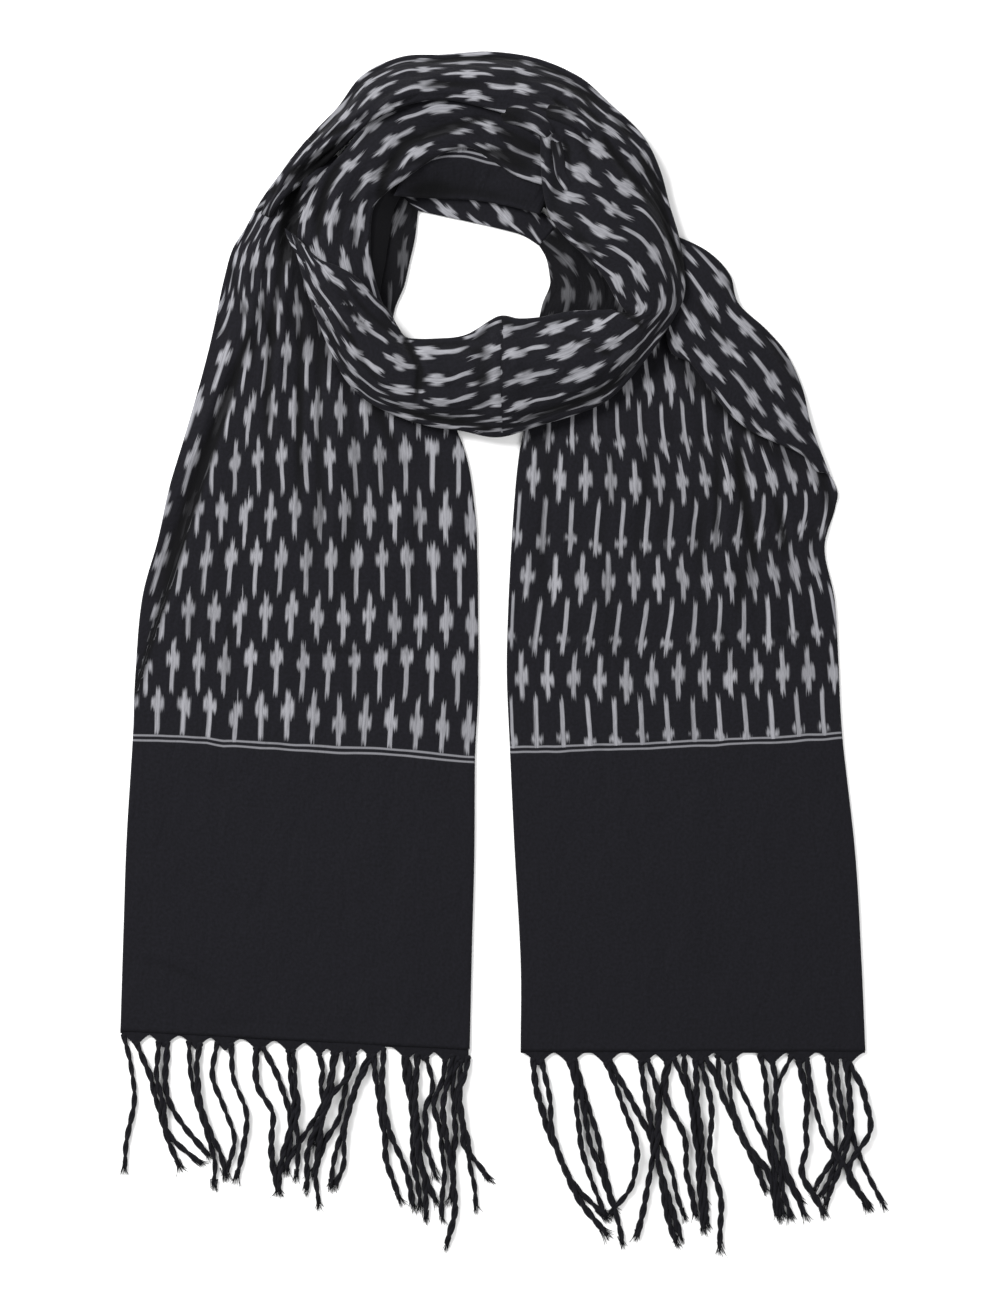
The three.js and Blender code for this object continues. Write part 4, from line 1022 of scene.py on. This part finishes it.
rightFringe = {
    "node": "right_fringe", "hem": ((237, -260), (13, -260)), "seed": 9,
    "points": [24.5, 45, 68.5, 92.5, 108.5, 129, 148, 176, 195, 216, 226],
    "strands": [
        [21, 25.5, 36, 47.5, 69.5, -380], [26.5, 32.5, 34.5, 43.5, 67.5, -367],
        [44.5, 49, 52, 59, 68.5, -368], [48, 56.5, 63.5, 72.5, 79.5, -384.5],
        [46, 52.5, 57.5, 65, 73.5, -362.5], [68.5, 78.5, 87.5, 87, 71, -366],
        [70.5, 87.5, 100.5, 105.5, 113.5, -384.5], [91, 95.5, 99.5, 95, 88.5, -381],
        [95.5, 102.5, 101, 108, 117, -381], [108, 104, 103.5, 112.5, 119, -367],
        [109.5, 108, 119.5, 122, 126.5, -367], [112.5, 123.5, 126.5, 129.5, 131.5, -375.5],
        [119, 122.5, 127, 130, 133, -358.5], [126.5, 128, 130, 131.5, 134, -372.5],
        [130, 136.5, 135.5, 143.5, 142.5, -388.5], [133, 143.5, 152.5, 164, 172, -350.5],
        [141, 144.5, 157, 175.5, 181, -367.5], [147, 149.5, 157.5, 174, 179.5, -366.5],
        [151.5, 158, 170, 178.5, 184, -366], [168.5, 173.5, 176.5, 182, 189, -368],
        [176.5, 179.5, 180.5, 185, 195.5, -358], [189, 178.5, 181, 184.5, 198, -367],
        [193.5, 200, 199, 196.5, 210.5, -366.5], [199, 203.5, 209, 225.5, 239, -362.5],
        [212, 215.5, 217.5, 216.5, 203, -351], [218, 220.5, 223.5, 218, 209, -354],
        [223.5, 225.5, 226, 221, 211, -360], [225.5, 227.5, 228.5, 237, 249, -360.5],
        [226, 237, 239.5, 225.5, 240, -361],
    ],
}


def tube(points, radii, sides):
    # vertices and faces of a closed tube that lies along the points
    points = np.array(points)
    ahead = np.gradient(points, axis=0)
    ahead /= np.linalg.norm(ahead, axis=1)[:, None]
    sideways = np.cross(ahead, (0.0, 0.0, 1.0))
    sideways /= np.linalg.norm(sideways, axis=1)[:, None]
    lift = np.cross(sideways, ahead)
    turns = np.linspace(0, 2 * math.pi, sides, endpoint=False)
    ring = (
        points[:, None]
        + (radii[:, None] * np.cos(turns))[:, :, None] * sideways[:, None]
        + (radii[:, None] * np.sin(turns))[:, :, None] * lift[:, None]
    )
    faces = []
    for i in range(len(points) - 1):
        for k in range(sides):
            k2 = (k + 1) % sides
            faces.append((i * sides + k, i * sides + k2, (i + 1) * sides + k2, (i + 1) * sides + k))
    faces.append(tuple(reversed(range(sides))))
    faces.append(tuple(range((len(points) - 1) * sides, len(points) * sides)))
    return ring.reshape(-1, 3), faces


def drawnDown(x, points):
    # how far the nearest knot draws the hem down, from 0 to 1
    nearest = min(abs(x - point) for point in points)
    return (1 - min(nearest / hemLook["toothHalf"], 1)) ** hemLook["toothPoint"]


def hemParts(hemY, start, end, points):
    # the hem, drawn down to a point at each knot, with an upper and a lower face
    share = np.linspace(0, 1, 7)
    z = fringe["lift"] + hemLook["high"] - hemLook["slope"] * share
    grid = []
    for x in np.arange(start, end + 0.01, hemLook["cell"]):
        tall = hemLook["tall"] + hemLook["tooth"] * drawnDown(x, points)
        y = hemY(x) + hemLook["over"] - tall * share
        grid.append(np.stack([x + tableShift + 0 * share, y, z], 1))
    upper, faces = np.concatenate(grid), gridFaces(len(grid), len(share))
    return [(upper, [face[::-1] for face in faces]), (upper - (0, 0, hemLook["thick"]), faces)]


def strandLine(row, topY, level, rng):
    # the middle line of a strand, a little uneven, which lies over or under its neighbours
    tipY = row[5]
    quarters = np.array(row[:5], float) + tableShift
    places = np.linspace(0, 4, int((topY - tipY) / fringe["step"]))
    x = throughPoints(quarters, places)
    slips = np.concatenate([[0], rng.normal(0, fringe["wander"], 6), [0]])
    wander = throughPoints(slips, places * 7 / 4)
    share = places / 4
    z = fringe["lift"] + level * np.sin(math.pi * np.clip(share * 1.15, 0, 1))
    return np.stack([x + wander, topY + (tipY - topY) * share, z], 1)


def strandParts(row, topY, level, rng):
    # two plies twisted together, the knot under the hem and the frayed tip
    line = strandLine(row, topY, level, rng)
    run = lengthsAlong(line)
    ahead = np.gradient(line, axis=0)
    ahead /= np.linalg.norm(ahead, axis=1)[:, None]
    sideways = np.stack([-ahead[:, 1], ahead[:, 0], np.zeros(len(line))], 1)
    phase = rng.uniform(0, 2 * math.pi)
    thick = plyLook["radius"] * rng.uniform(1 - plyLook["uneven"], 1 + plyLook["uneven"])
    radii = thick * (1 + plyLook["swell"] * np.sin(run / plyLook["swellRun"] + phase))
    radii[-3:] *= plyLook["ends"]
    parts = []
    for ply in (0, math.pi):
        angle = 2 * math.pi * run / plyLook["twist"] + phase + ply
        path = line + sideways * (plyLook["apart"] * thick * np.cos(angle))[:, None]
        path[:, 2] += plyLook["apart"] * thick * np.sin(angle)
        path[:, 2] = np.maximum(path[:, 2], thick + plyLook["lowest"])
        parts.append(tube(path, radii, plyLook["sides"]))
    knotLine = line[0] + np.outer(np.linspace(knotLook["from"], knotLook["to"], 5), ahead[0])
    knotSize = rng.uniform(1 - knotLook["uneven"], 1 + knotLook["uneven"])
    parts.append(tube(knotLine, np.array(knotLook["radii"]) * knotSize, knotLook["sides"]))
    for _ in range(frayLook["fibres"]):
        lean = rng.normal(0, frayLook["lean"])
        length = frayLook["length"] * rng.uniform(frayLook["shortest"], 1.0)
        start = line[-3] + sideways[-1] * rng.normal(0, frayLook["spread"])
        fibre = []
        for k in range(5):
            reach = length * k / 4
            place = start + ahead[-1] * reach + sideways[-1] * lean * reach * (0.5 + 0.25 * k)
            high = line[-1][2] - frayLook["sink"] * k + rng.normal(0, frayLook["uneven"])
            place[2] = max(high, frayLook["lowest"])
            fibre.append(place)
        parts.append(tube(fibre, np.array(frayLook["radii"]), frayLook["sides"]))
    return parts


def layFringe(name, piece):
    rng = np.random.default_rng(piece["seed"])
    node, points = piece["node"], piece["points"]
    (ax, ay), (bx, by) = piece["hem"]

    def hemY(x):
        return ay + (by - ay) * (x - ax) / (bx - ax)

    parts = hemParts(hemY, min(ax, bx), max(ax, bx), points)
    for index, row in enumerate(piece["strands"]):
        drawn = hemLook["tooth"] * drawnDown(row[0], points)
        topY = hemY(row[0]) - hemLook["strandGap"] - drawn * hemLook["strandDrawn"]
        level = fringe["levels"][index % len(fringe["levels"])]
        parts.extend(strandParts(row, topY, level, rng))
    vertices, faces = joined(parts)
    obj = clothMesh(name, vertices, faces, np.array(vertices)[:, :2])
    obj.data.materials.append(yarn)
    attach(obj, "root")
    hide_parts(node)
    print(name, "faces", len(faces))


yarn = makeCloth("fringeYarn", toneAndPaintedShade=0.9)
layFringe("leftFringe", leftFringe)
layFringe("rightFringe", rightFringe)
